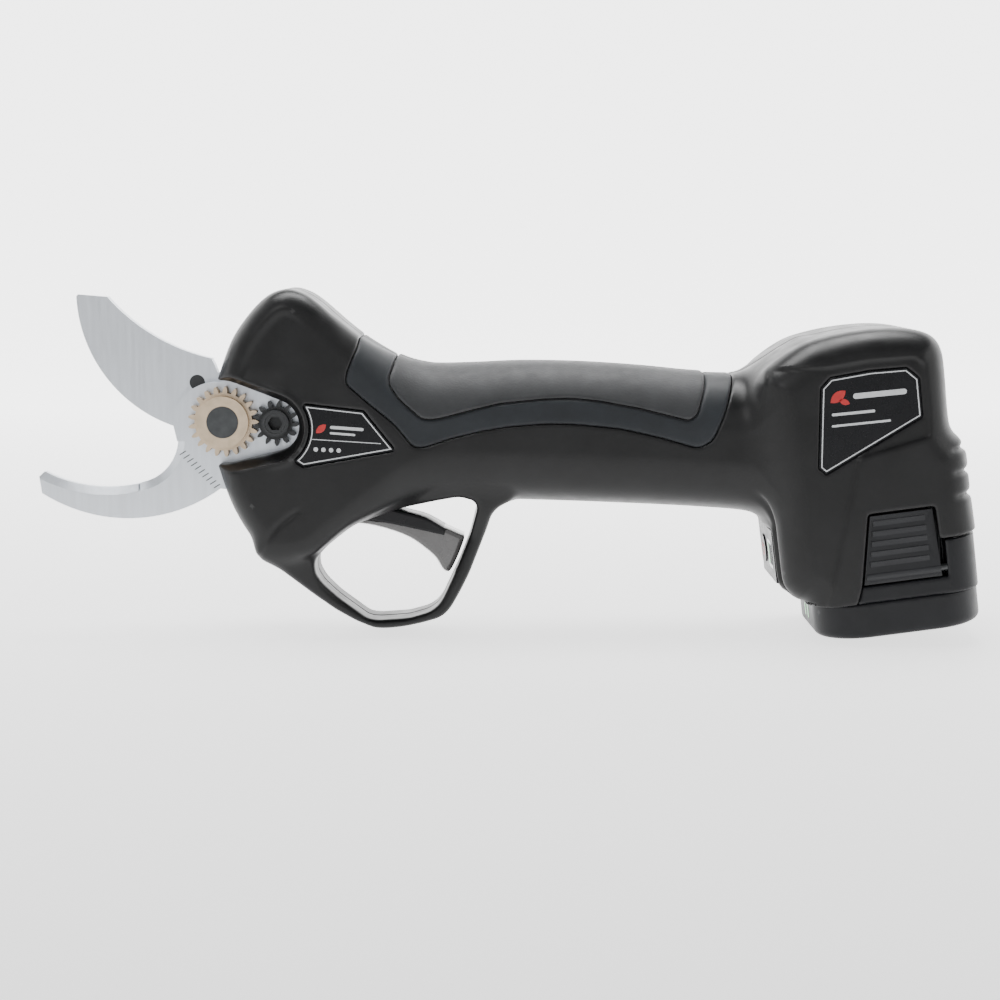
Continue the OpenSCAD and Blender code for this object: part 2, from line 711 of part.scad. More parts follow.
// One half of the casing: s -1 is the left half and 1 the right
module casing(s) {
    keep = s < 0 ? -40 : 0;
    difference() {
        intersection() {
            union() {
                difference() {
                    casing_solid();
                    casing_hollow();
                }
                intersection() {
                    casing_solid();
                    union() {
                        for (p = screw_places) disc_y(p, 3.1, -22, 22, 18);
                        for (k = [-1, 1]) disc_y(trigger_at, 3.2, k < 0 ? -16 : 5.6,
                                                 k < 0 ? -5.6 : 16, 18);
                    }
                }
                if (s < 0) intersection() {
                    casing_solid();
                    plate(-20, land_y - 0.2) teardrop(3);
                }
            }
            translate([-20, keep, -80]) cube([260, 40, 140]);
        }
        casing_cuts();
        if (s < 0) plate(-20, land_y) teardrop(0);
        if (s < 0) plate(-9.4, land_y) teardrop(2);
        disc_y(trigger_at, 1.6, -9.2, 9.2, 18);
        intersection() {
            difference() {
                body_loft(-1);
                body_loft(inlay_t);
            }
            plate(-30, 30) polygon(band_outline);
        }
        if (s > 0) for (p = screw_places) disc_y(p, 2.65, 9, 40, 18);
        for (k = [-1, 1]) {
            plate(k < 0 ? -40 : 23.4, k < 0 ? -23.4 : 40) side_label_outline();
            plate(k < 0 ? -40 : head_half_w - 0.6, k < 0 ? -head_half_w + 0.6 : 40)
                head_label_outline();
        }
    }
}

module casing_left() color([0.12, 0.12, 0.13]) place() casing(-1);

module casing_right() color([0.13, 0.13, 0.14]) place() casing(1);

module inlay(s, outer, inner, low, high)
    intersection() {
        difference() {
            body_loft(high);
            body_loft(low);
        }
        difference() {
            plate(-30, 30) polygon(outer);
            if (len(inner) > 0) plate(-31, 31) polygon(inner);
        }
        translate([0, s < 0 ? -40 : 0, -60]) cube([200, 40, 120]);
    }

module grip_band_left()
    color([0.2, 0.22, 0.24]) place() inlay(-1, band_outline, pad_outline, inlay_t, 0);

module grip_band_right()
    color([0.2, 0.22, 0.24]) place() inlay(1, band_outline, pad_outline, inlay_t, 0);

module grip_pad_left()
    color([0.33, 0.34, 0.35]) place() inlay(-1, pad_outline, [], inlay_t, -0.3);

module grip_pad_right()
    color([0.33, 0.34, 0.35]) place() inlay(1, pad_outline, [], inlay_t, -0.3);

module casing_screws()
    color([0.25, 0.25, 0.27]) place() for (p = screw_places) translate([p[0], 0, p[1]]) {
        disc_y([0, 0], screw_r, -8, 9);
        difference() {
            disc_y([0, 0], 2.5, 9, 11);
            plate(10, 12) circle(1.2, $fn = 6);
        }
    }

module head_labels()
    color([0.08, 0.08, 0.09]) place() for (s = [0, 1]) mirror([0, s, 0])
        plate(-head_half_w, -head_half_w + 0.6) head_label_outline();

module side_labels()
    color([0.08, 0.08, 0.09]) place() for (s = [0, 1]) mirror([0, s, 0])
        plate(-24, -23.4) side_label_outline();

// Power panel on the front of the block ------------------------------------

panel_u = -30.9;
button_at = [5.2, 24];          // Y and height
button_r = 4;

module on_panel(y, w) on_pack() translate([panel_u, y, w]) rotate([0, 90, 0]) children();

module power_panel()
    color([0.1, 0.1, 0.11]) place() difference() {
        on_pack() translate([panel_u, -12, 16.5]) cube([2.4, 24, 15]);
        on_panel(button_at[0], button_at[1]) translate([0, 0, -1])
            cylinder(r = button_r + 0.15, h = 6, $fn = round_fn);
        on_pack() translate([panel_u - 1, -9.2, 20]) cube([5, 7, 8]);
    }

module power_button()
    color([0.2, 0.2, 0.21]) place() on_panel(button_at[0], button_at[1])
        translate([0, 0, -0.4]) cylinder(r = button_r, h = 3, $fn = round_fn);

module power_window()
    color([0.3, 0.9, 0.4]) place() on_pack() translate([panel_u - 0.1, -9.2, 20]) cube([2.4, 7, 8]);

// Battery ------------------------------------------------------------------

module battery_case()
    color([0.07, 0.07, 0.08]) place() on_pack() difference() {
        union() {
            translate([0, 0, base_h]) linear_extrude(case_top - base_h)
                round_box(case_u[0], case_u[1], case_half_w, case_corner);
            translate([0, 0, base_h]) linear_extrude(tail_top - base_h) intersection() {
                round_box(-24, tail_u[1], tail_half_w, 10);
                translate([tail_u[0], -30]) square([30, 60]);
            }
        }
        translate([0, 0, base_h - 1]) linear_extrude(case_top - base_h - 1.2)
            round_box(case_u[0] + case_wall, case_u[1] - case_wall, case_half_w - 2.3, 7);
        for (s = [-1, 1]) translate([-14, 5.4 * s - 0.9, case_top - 3]) cube([10, 1.8, 4]);
        translate([-14, -0.9, case_top - 3]) cube([10, 1.8, 4]);
        for (s = [-1, 1]) {
            scale([1, -s, 1]) rotate([90, 0, 0]) translate([0, 0, catch_y[0] - 1.5])
                linear_extrude(5) polygon([[-10, 14], [-7, 36], [13.3, 36], [13.3, 14]]);
            translate([-10, s * catch_pin[0], catch_pin[1]]) rotate([0, 90, 0])
                cylinder(r = 2.2, h = 23.4, $fn = 48);
            translate([-10, s * catch_pin[0], catch_pin[1]]) rotate([0, 90, 0])
                cylinder(r = catch_pin_r, h = 26.2, $fn = 48);
        }
    }

base_corner = 14;
base_edge = 2;

// One direction of the foot: a bar with its lower edges cut back
module base_bar(half, run_half)
    rotate([90, 0, 0]) translate([0, 0, -run_half]) linear_extrude(2 * run_half)
        polygon([[-half + base_edge, 0], [half - base_edge, 0], [half, base_edge],
                 [half, base_h], [-half, base_h], [-half, base_edge]]);

module battery_base()
    color([0.09, 0.09, 0.1]) place() on_pack() difference() {
        union() {
            base_bar(base_half_l, base_half_w - base_corner);
            rotate(90) base_bar(base_half_w, base_half_l - base_corner);
            for (i = [-1, 1], s = [-1, 1])
                translate([i * (base_half_l - base_corner), s * (base_half_w - base_corner), 0]) {
                    cylinder(r1 = base_corner - base_edge, r2 = base_corner, h = base_edge,
                             $fn = round_fn);
                    translate([0, 0, base_edge])
                        cylinder(r = base_corner, h = base_h - base_edge, $fn = round_fn);
                }
        }
        translate([0, 0, 2.4]) linear_extrude(base_h)
            round_box(case_u[0] + case_wall, case_u[1] - case_wall, case_half_w - 2.3, 7);
        for (s = [-1, 1]) translate([-base_half_l - 1, 2.2 * s - 0.8, 3.4]) cube([2.2, 1.6, 4.6]);
    }

module battery_cells()
    color([0.2, 0.45, 0.3]) place() on_pack(cells_w) for (i = [-1, 1], s = [-1, 1])
        translate([-1.9 + i * (cell_d / 2 + 0.15), s * (cell_d / 2 + 0.1), 0])
            cylinder(d = cell_d, h = cell_l, $fn = round_fn);

module cell_straps()
    color([0.75, 0.75, 0.77]) place() on_pack() for (s = [-1, 1]) {
        translate([-16, s * 9.3 - 3, cells_w + cell_l]) cube([28, 6, 0.3]);
        translate([-16 + (s > 0 ? 0 : 16), s * 9.3 - 3, cells_w - 0.3]) cube([12, 6, 0.3]);
    }

module battery_board()
    color([0.05, 0.25, 0.35]) place() on_pack() {
        translate([-20, -17, 69.4]) cube([36, 34, 1.2]);
        translate([2, -8, 70.6]) cube([8, 16, 1]);
    }

module battery_sockets()
    color([0.8, 0.7, 0.4]) place() on_pack() for (s = [-1, 0, 1]) difference() {
        translate([-14, 5.4 * s - 0.9, 70.6]) cube([10, 1.8, 2.4]);
        translate([-15, 5.4 * s - 0.5, 71]) cube([12, 1, 3]);
    }

module battery_catch(s)
    color([0.1, 0.1, 0.11]) place() on_pack() scale([1, -s, 1]) difference() {
        union() {
            rotate([90, 0, 0]) translate([0, 0, catch_y[0]])
                linear_extrude(catch_y[1] - catch_y[0]) polygon(catch_outline);
            for (k = [0:4]) translate([-6.4 + 0.45 * k, -catch_y[1] - 0.3, 20 + 2.8 * k])
                cube([16.2 - 0.5 * k, 0.6, 1.4]);
            translate([-7.8, -catch_pin[0], catch_pin[1]]) rotate([0, 90, 0])
                cylinder(r = 1.85, h = 20.4, $fn = 48);
        }
        translate([-12, -catch_pin[0], catch_pin[1]]) rotate([0, 90, 0])
            cylinder(r = catch_pin_r + run, h = 28, $fn = 48);
    }

module catch_pins()
    color([0.6, 0.6, 0.62]) place() on_pack() for (s = [-1, 1])
        translate([-7.6, s * catch_pin[0], catch_pin[1]]) rotate([0, 90, 0])
            cylinder(r = catch_pin_r, h = 23.6, $fn = 48);

module catch_springs()
    color([0.7, 0.7, 0.72]) place() on_pack() for (s = [0, 1]) mirror([0, s, 0])
        rotate([90, 0, 0]) translate([0, 0, catch_y[0] - 1.5]) {
            translate([-1, 27, 0]) cube([5, 5, 0.3]);
            translate([-1, 31, 0]) cube([5, 0.4, 1.45]);
        }

module charge_lights()
    color([0.3, 0.9, 0.4]) place() on_pack() for (s = [-1, 1])
        translate([-base_half_l + 0.1, 2.2 * s - 0.8, 3.4]) cube([1.1, 1.6, 4.6]);

module planet_gear_a() planet_gear(0);

module planet_gear_b() planet_gear(1);

module planet_gear_c() planet_gear(2);

module catch_left() battery_catch(-1);

module catch_right() battery_catch(1);

moving_blade();
fixed_blade();
pivot_bolt();
pivot_bush();
blade_nut();
lock_gear();
lock_screw();
drive_dowels();
sector_gear();
gear_frame();
frame_screws();
bevel_pinion();
pinion_bearing();
planet_gear_a();
planet_gear_b();
planet_gear_c();
ring_gear();
motor_can();
motor_magnets();
motor_end_cap();
motor_bearings();
rotor();
motor_wires();
main_board();
power_wires();
trigger();
trigger_pin();
trigger_spring();
trigger_magnet();
sensor_board();
casing_left();
casing_right();
grip_band_left();
grip_band_right();
grip_pad_left();
grip_pad_right();
casing_screws();
head_labels();
side_labels();
power_panel();
power_button();
power_window();
bay_terminals();
battery_case();
battery_base();
battery_cells();
cell_straps();
battery_board();
battery_sockets();
catch_left();
catch_right();
catch_pins();
catch_springs();
charge_lights();
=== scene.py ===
"""Looks of the battery electric pruner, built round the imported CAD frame.

Shapes are written in millimetres from the blade pivot, X to the rear and Z up, and
become metres in the row frame when a mesh is made. The block and the battery also use
the pack's own axes, U back along the foot and W up the battery. Widths are along Y, and
the near side, with the blade nut, has the negative Y.
"""

import json
import math

import bpy
import numpy as np
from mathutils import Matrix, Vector
from mathutils.geometry import tessellate_polygon


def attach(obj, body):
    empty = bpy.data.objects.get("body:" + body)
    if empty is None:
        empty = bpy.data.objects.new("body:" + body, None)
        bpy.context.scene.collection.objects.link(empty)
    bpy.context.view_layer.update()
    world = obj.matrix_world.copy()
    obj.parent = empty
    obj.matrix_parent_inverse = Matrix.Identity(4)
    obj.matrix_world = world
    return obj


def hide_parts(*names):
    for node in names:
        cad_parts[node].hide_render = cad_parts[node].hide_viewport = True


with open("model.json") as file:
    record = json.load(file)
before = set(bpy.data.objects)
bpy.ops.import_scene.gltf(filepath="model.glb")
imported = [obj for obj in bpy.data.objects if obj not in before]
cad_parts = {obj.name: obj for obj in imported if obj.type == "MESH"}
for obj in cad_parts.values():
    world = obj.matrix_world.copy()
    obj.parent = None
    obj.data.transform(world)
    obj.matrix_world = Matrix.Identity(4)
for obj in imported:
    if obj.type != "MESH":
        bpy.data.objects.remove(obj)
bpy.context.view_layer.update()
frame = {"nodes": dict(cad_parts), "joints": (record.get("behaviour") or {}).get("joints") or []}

MM = 0.001
PIVOT = next(j for j in frame["joints"] if j["name"] == "blade_swing")["pos_m"]
STEP = 0.55  # grid of the moulded pieces

# Where the pack's axes start, and how far they lean back
PACK_AT = (188.0, -57.4)
PACK_TILT = math.radians(7.5)
PACK_COS, PACK_SIN = math.cos(PACK_TILT), math.sin(PACK_TILT)


def to_row(points):
    """Points in millimetres from the pivot, as metres in the row frame."""
    return np.asarray(points, float) * MM + np.array(PIVOT)


def from_pack(u, y, w):
    """A point in the pack's axes, as millimetres from the pivot."""
    return (
        PACK_AT[0] + u * PACK_COS - w * PACK_SIN,
        y,
        PACK_AT[1] + u * PACK_SIN + w * PACK_COS,
    )


# Flat outlines -----------------------------------------------------------


def arc(centre, radius, start, end, count=16):
    return [
        (centre[0] + radius * math.cos(a), centre[1] + radius * math.sin(a))
        for a in np.radians(np.linspace(start, end, count + 1))
    ]


def fillet(points, radius):
    """A closed outline with its corners rounded, four points to a corner."""
    p = np.array(points, float)
    out = []
    for before, at, after in zip(np.roll(p, 1, 0), p, np.roll(p, -1, 0)):
        a, b = before - at, after - at
        la, lb = np.linalg.norm(a), np.linalg.norm(b)
        reach = min(radius, 0.45 * la, 0.45 * lb)
        start, end = at + a / la * reach, at + b / lb * reach
        for t in np.linspace(0, 1, 4):
            out.append((1 - t) ** 2 * start + 2 * t * (1 - t) * at + t * t * end)
    return np.array(out)


def spline(points):
    """A smooth open curve through points, four steps to a span."""
    p = np.array(points, float)
    p = np.vstack([2 * p[0] - p[1], p, 2 * p[-1] - p[-2]])
    out = []
    for a, b, c, d in zip(p[:-3], p[1:-2], p[2:-1], p[3:]):
        for t in np.arange(4) / 4:
            out.append(
                0.5 * (2 * b + (c - a) * t + (2 * a - 5 * b + 4 * c - d) * t**2
                       + (3 * b - a - 3 * c + d) * t**3)
            )
    out.append(p[-2])
    return np.array(out)


def ccw(points):
    """Points turning from X to Z."""
    p = np.array(points, float)
    area = np.sum(p[:, 0] * np.roll(p[:, 1], -1) - np.roll(p[:, 0], -1) * p[:, 1])
    return p if area > 0 else p[::-1]


def outward(points):
    """Unit step out of a closed outline at each point, longer at corners."""
    p = np.array(points, float)
    edge = np.roll(p, -1, 0) - p
    edge /= np.linalg.norm(edge, axis=1)[:, None]
    normal = np.column_stack([edge[:, 1], -edge[:, 0]])
    both = normal + np.roll(normal, 1, 0)
    return both / np.maximum((both**2).sum(1) / 2, 0.5)[:, None]


def grow(points, by):
    """A closed outline moved out by a distance."""
    p = ccw(points)
    return p + outward(p) * by


def hull_of_circles(a, ra, b, rb):
    """Outline round two circles."""
    ax, az = a
    bx, bz = b
    gap = math.hypot(bx - ax, bz - az)
    lean = math.degrees(math.acos((ra - rb) / gap))
    slope = math.degrees(math.atan2(bz - az, bx - ax))
    return np.array(
        arc(b, rb, slope - lean, slope + lean, 24)
        + arc(a, ra, slope + lean, slope + 360 - lean, 24)
    )


# Moulded shapes: signed distance fields, negative inside ------------------


def distance(outline, x, z):
    """Signed distance to a closed outline in X and Z."""
    best = np.full(np.broadcast(x, z).shape, 1e9)
    inside = np.zeros(best.shape, bool)
    for (ax, az), (bx, bz) in zip(outline, np.roll(outline, -1, 0)):
        ex, ez = bx - ax, bz - az
        t = np.clip(((x - ax) * ex + (z - az) * ez) / (ex * ex + ez * ez + 1e-12), 0, 1)
        best = np.minimum(best, (x - ax - t * ex) ** 2 + (z - az - t * ez) ** 2)
        if ez:
            inside ^= ((az > z) != (bz > z)) & (x < ax + (z - az) * ex / ez)
    return np.where(inside, -1, 1) * np.sqrt(best)


def step(low, high, value):
    """Smooth rise from 0 at low to 1 at high."""
    t = np.clip((value - low) / (high - low), 0, 1)
    return t * t * (3 - 2 * t)


def hump(at, width, value):
    """Bell of height 1."""
    return np.exp(-(((value - at) / width) ** 2))


def join(a, b, k):
    """Union with a fillet of about k."""
    h = np.clip(0.5 + 0.5 * (b - a) / k, 0, 1)
    return b + (a - b) * h - k * h * (1 - h)


def meet(a, b, k):
    """Intersection with an edge rounded by about k."""
    return -join(-a, -b, k)


def cut(a, b, k):
    """a without b."""
    return meet(a, -b, k)


def slab_field(flat, y, half, r):
    """An outline's distance given a half width, with its long edges rounded by r."""
    q1, q2 = flat + r, np.abs(y) - half + r
    return np.hypot(np.maximum(q1, 0), np.maximum(q2, 0)) + np.minimum(np.maximum(q1, q2), 0) - r


def rounded_box(a, b, half_a, half_b, r):
    """A rectangle's distance, with its corners rounded by r."""
    qa, qb = np.abs(a) - half_a + r, np.abs(b) - half_b + r
    return np.hypot(np.maximum(qa, 0), np.maximum(qb, 0)) + np.minimum(np.maximum(qa, qb), 0) - r


def to_pack(x, z):
    """U and W of a place given in X and Z."""
    dx, dz = x - PACK_AT[0], z - PACK_AT[1]
    return dx * PACK_COS + dz * PACK_SIN, dz * PACK_COS - dx * PACK_SIN


# Outlines in X and Z, those of the block and its notch in U and W
BODY = np.vstack([
    spline([(-1, 12.4), (2, 20.4), (4.6, 25.4), (8.2, 30.2), (11.2, 33.4), (14, 35.6), (17, 36.8),
            (20, 37), (23.6, 35.8), (27, 33.6), (31, 30.2), (35, 26.8), (39.5, 23.5),
            (44, 20.8), (48, 18.7), (52, 17.1), (56.5, 16.1), (61, 15.7), (72, 16), (84, 16.5),
            (100, 16.2), (117, 15.1), (130, 13.8), (140, 13.3), (147, 13.6), (153, 15.2),
            (162, 20)]),
    spline([(162, -30), (153, -26.9), (147, -25.6), (140, -24.9), (128, -24.2), (117, -23.7),
            (100, -23), (84, -22.5), (72, -22.2), (61, -22.2), (52, -24), (44, -26.4),
            (35, -30.4), (27, -36.5), (18.5, -39), (12, -38.4), (9.6, -36.4)]),
    spline([(9.6, -36.4), (8, -32.6), (4.6, -27.2), (1.4, -20.6), (-1.6, -11.5)]),
])
BLOCK = spline([
    (-23.8, 2), (-23.8, 10.1), (-26.8, 12.4), (-29, 15), (-30.2, 18), (-30.4, 25), (-30.4, 47),
    (-30.6, 60), (-30.7, 71), (-29.4, 75.6), (-24.8, 79.1), (-17.7, 82.5), (-10.8, 83.8),
    (-4, 84.3), (3, 84.2), (9.3, 83.5), (15, 82), (18.4, 79.8), (20.1, 76.4), (20.5, 71),
    (20.3, 58), (21, 54), (23.2, 50.8), (24.3, 47), (24.4, 37), (24.9, 23.5), (25.1, 10),
    (25.1, 2),
])
GUARD_OUTER = fillet(
    [(12, -27), (9.4, -33), (9.8, -36.6), (15.3, -41), (20.7, -45.9), (24.7, -49.3),
     (30.6, -53.6), (36.6, -57), (41.8, -59.1), (45.4, -59.2), (50.6, -58.6), (55.3, -57.6),
     (60.1, -56.2), (62.1, -54.8), (63.7, -52.9), (66.5, -47.9), (68.9, -43), (71.7, -35.8),
     (73.7, -30.6), (75.1, -26.2), (76.7, -24.2), (80.9, -21.6), (80, -14), (30, -14)], 1.6)
GUARD_INNER = fillet(
    [(25.3, -40.2), (25.9, -38.2), (28.8, -35), (34.6, -30.4), (37.5, -28.6), (48.9, -24.6),
     (60.4, -21.9), (66.1, -20.8)]
    + arc((68.2, -24.2), 2.7, 60, -20, 6)
    + [(68.9, -32.4), (66, -39.9), (61.1, -50.5), (59.7, -52.5), (57.3, -54.3), (51.6, -56),
       (42.9, -56.6), (40, -56.2), (31.5, -49.9), (27.2, -45.8), (25.5, -42.9)], 1.6)
CUTOUT = hull_of_circles((-0.3, 0), 11.8, (14, -0.9), 7.5)
BAND = fillet(
    [(40, 60), (38.5, 21.8), (35.4, 14.4), (35, 11.4), (40.3, 6.7), (48.2, 0.3), (53.4, -6.1),
     (56.5, -6.4), (63.7, -3.9), (72, -1.9), (80.3, -0.5), (91.3, 0.3), (99.6, 0),
     (110.7, -1.1), (121.8, -3.6), (132.3, -6.6), (136.1, -4.4), (139.6, 3.4), (142.7, 13.6),
     (143, 60)], 2)
PAD = fillet(
    [(49.2, 60), (49, 19.1), (46.6, 11.6), (50, 6.8), (56.3, 1.4), (61, 1.8), (69.3, 4),
     (77.5, 5.9), (88.5, 7), (96.8, 7.3), (105, 6.5), (116.1, 4.5), (129.6, 1.2), (131.8, 2.9),
     (134.1, 10.1), (134.9, 14.7), (135, 60)], 2)
SIDE_PANEL = fillet(
    [(165.5, 16.6), (177, 18.6), (189.4, 19.6), (192.2, 17.4), (194.1, 1.7), (194.3, -2.7),
     (175.2, -8.6), (174.3, -13.9), (172.7, -24.6), (166, -60), (140, -60), (150, 16)], 1.2)
SIDE_LABEL = [(164.9, 10.4), (167, 12.8), (177.5, 14.7), (186.9, 15.5), (189.9, 13.1),
              (191.1, 3.4), (166.2, -11.9), (164.9, -10.8)]
HEAD_LABEL = (
    [(39.6, 3.2), (47.4, -6.6), (23.4, -10.8)]
    + arc((14, -0.9), 11.9, -48.5, 29.5, 12)
)
NOTCH = fillet([(-13, 5), (-9.4, 15), (-5.8, 34.8), (12.6, 34.8), (13, 25.6), (40, 26.4),
                (40, 5)], 1)
TRIGGER_SLOT = np.array([(26, -36), (26, -21), (32, -18), (56, -19.6), (63.4, -20.4), (64, -30)])
BLADE_SLOT = np.array([(-20, -24), (-1, -24), (6, -22), (6, 18), (-20, 18)])

# Casing screws: where they are, and their bosses and holes in the far half
SCREWS = [(24, 31.5), (17, -38), (38, 19), (107, -15), (107, 9.5), (149.5, -22.2),
          (146, 9.3), (188.5, 23)]
BOSS_R, HEAD_HOLE_R, SHANK_HOLE_R = 3.4, 2.65, 1.5
HEAD_SEAT_Y, SHANK_HOLE_END = 9, 12

# Casing
WALL = 2.4
HALF_GAP = 0.04  # from each half to the middle plane
INLAY = 1.6  # depth of the rubber in the grip
LABEL_ROOM = 0.95  # from a label's outline to the edge of its recess
SIDE_RECESS_Y, HEAD_RECESS_Y = 23.4, 15.9
SIDE_LABEL_Y, HEAD_LABEL_Y = 24, 16.72
WIDTH_X = [-0.8, 3, 9, 18.5, 40, 117, 140, 153]
WIDTH_HALF = [14.4, 15.4, 16.2, 16.8, 17, 17, 17.6, 18.6]  # head and handle, at WIDTH_X
BLADE_GAP = (-4.2, 8.3)
HUB_R = 18.4  # room for the moving blade's hub
BOLT_R, BOLT_Y, BOLT_HALF = 8.6, 10, 2.9
TRIGGER_HALF = 5.5

# Block and battery
BLOCK_HALF, BLOCK_EDGE = 24.8, 9.5
BLOCK_BASE_W, BLOCK_FRONT_X = 10.1, 120
RIBS_W = (36.2, 42.6, 49)
GROOVE_Y = 15.4
BAY_U, BAY_HALF_U, BAY_HALF_Y, BAY_CORNER, BAY_TOP = -3, 22, 21.6, 8.6, 75.5
PANEL_W, PANEL_HALF_Y, PANEL_HALF_W = 24, 12.2, 7.7
WINDOW_U, WINDOW_HALF = -33, 7.4
BATTERY_GAP = 0.2
TAIL_U, TAIL_HALF_U, TAIL_HALF_Y = 0.25, 24.3, 23.4
FOOT_U, FOOT_HALF_U, FOOT_HALF_Y, FOOT_TOP = 1.6, 23.2, 23.6, 9.9


def body_field(x, y, z):
    """Head and handle."""
    flat = distance(BODY, x, z)
    half = np.interp(x, WIDTH_X, WIDTH_HALF)
    rim = step(4.6, 7.6, -flat) * step(27, 15, x) * step(9, 17, z)
    crease = hump(27.1, 0.7, np.hypot(x - 35.3, z + 47.3)) * step(-20, -25, z) * step(24, 18, x)
    half = half - 0.5 * crease
    r = 6.4 + 9 * step(28, 60, x)
    return slab_field(flat, y, half - 0.9 * rim, r)


def block_field(x, y, z):
    """Block over the battery, with grooves at the back and a lip round the power panel."""
    u, w = to_pack(x, z)
    ribs = sum(hump(at, 0.9, w) for at in RIBS_W)
    flat = distance(BLOCK, u, w) + 1.1 * ribs * step(17, 20, u)
    lip = rounded_box(y, w - PANEL_W, PANEL_HALF_Y, PANEL_HALF_W, 2)
    flat = flat - 0.5 * hump(1.5, 1.1, lip) * step(-20, -27, u)
    groove = hump(GROOVE_Y, 1, np.abs(y)) * step(-21, -26, u) * step(52, 40, w) * step(10, 16, w)
    flat = flat + 1.3 * groove
    half = BLOCK_HALF - 0.75 * step(0.3, -1.1, distance(SIDE_PANEL, x, z))
    return slab_field(flat, y, half, BLOCK_EDGE)


def guard_field(x, y, z):
    """Trigger guard, wider where it runs into the head and the handle."""
    flat = np.maximum(distance(GUARD_OUTER, x, z), -distance(GUARD_INNER, x, z))
    to_head = 6.4 * step(-54, -34, z) * step(34, 14, x)
    to_handle = 3 * step(-34, -22, z) * step(50, 64, x)
    half = 7.8 + to_head + to_handle
    return slab_field(flat, y, half, 2)


def casing_field(side):
    """One half of the casing: side -1 is the near one, with the nut's cutout, and 1 the far
    one, with the screws."""

    def field(x, y, z):
        u, w = to_pack(x, z)
        body, block = body_field(x, y, z), block_field(x, y, z)
        trunk = join(body, block, 6.5)
        opening = distance(GUARD_INNER, x, z)
        outer = join(cut(trunk, opening, 2.2), guard_field(x, y, z), 3)
        shell = cut(outer, trunk + WALL, 0.6)
        cutout = distance(CUTOUT, x, z)
        if side < 0:
            wall = meet(outer, np.maximum(cutout - 3, y - BLADE_GAP[0]), 0.4)
            shell = np.minimum(shell, wall)
        else:
            boss = np.min([np.hypot(x - px, z - pz) for px, pz in SCREWS], axis=0)
            shell = np.minimum(shell, np.maximum(outer, boss - BOSS_R))
        shell = cut(shell, opening, 0.3)
        if side < 0:
            ring = hump(2.9, 0.75, cutout) * step(11, 19, x) * step(-9, -13, y)
            shell = shell - 0.45 * ring
            flare = cutout - 2 * step(9, 16.6, -y)
            shell = cut(shell, np.maximum(flare, y + 4.1), 0.7)
        else:
            shell = cut(shell, np.maximum(boss - HEAD_HOLE_R, HEAD_SEAT_Y - y), 0.3)
            shell = cut(shell, boss - SHANK_HOLE_R + 9 * (y > SHANK_HOLE_END), 0.2)
        # Slots for the blades, the bolt's head and the trigger
        slot = np.minimum(distance(BLADE_SLOT, x, z), np.hypot(x, z) - HUB_R)
        between = np.maximum(BLADE_GAP[0] - y, y - BLADE_GAP[1])
        shell = cut(shell, np.maximum(slot, between), 0.5)
        head = np.maximum(np.hypot(x, z) - BOLT_R, np.abs(y - BOLT_Y) - BOLT_HALF)
        shell = cut(shell, head, 0.3)
        trigger = np.maximum(distance(TRIGGER_SLOT, x, z), np.abs(y) - TRIGGER_HALF)
        shell = cut(shell, trigger, 0.8)
        # Battery bay, its notch and the power panel's window
        bay = np.maximum(rounded_box(u - BAY_U, y, BAY_HALF_U, BAY_HALF_Y, BAY_CORNER),
                         chin_field(u, w) - BATTERY_GAP)
        shell = cut(shell, np.maximum(bay, w - BAY_TOP), 0.4)
        shell = cut(shell, distance(NOTCH, u, w), 0.5)
        shell = meet(shell, BLOCK_BASE_W - w - 60 * (x < BLOCK_FRONT_X), 0.6)
        window = rounded_box(y, w - PANEL_W, PANEL_HALF_Y, PANEL_HALF_W, 1.6)
        shell = cut(shell, np.maximum(window, np.abs(u - WINDOW_U) - WINDOW_HALF), 0.5)
        # Recesses for the inlays and labels
        grip = np.maximum(distance(BAND, x, z), -body - INLAY)
        shell = cut(shell, grip, 0.45)
        for outline, depth in ((SIDE_LABEL, SIDE_RECESS_Y), (HEAD_LABEL, HEAD_RECESS_Y)):
            recess = distance(outline, x, z) - LABEL_ROOM
            shell = cut(shell, np.maximum(recess, depth - np.abs(y)), 0.35)
        return meet(shell, -side * y + HALF_GAP, 0.5)

    return field


def inlay_field(side, outer, inner, proud):
    """Rubber let into the grip, inside one outline and round another, its face proud of the
    casing by a distance."""

    def field(x, y, z):
        body = body_field(x, y, z)
        flat = distance(outer, x, z) + 0.12
        if inner is not None:
            flat = meet(flat, -distance(inner, x, z) + 0.12, 0.4)
        shape = meet(body - proud, flat, 0.9)
        return np.maximum(np.maximum(shape, -body - INLAY + 0.03), -side * y + HALF_GAP)

    return field


def chin_field(u, w):
    """Distance in front of the sloping plane that cuts back the battery's lower front,
    1.4 of U to one of W."""
    return (-u - 21.4 - 1.4 * (w - 10)) / 1.72


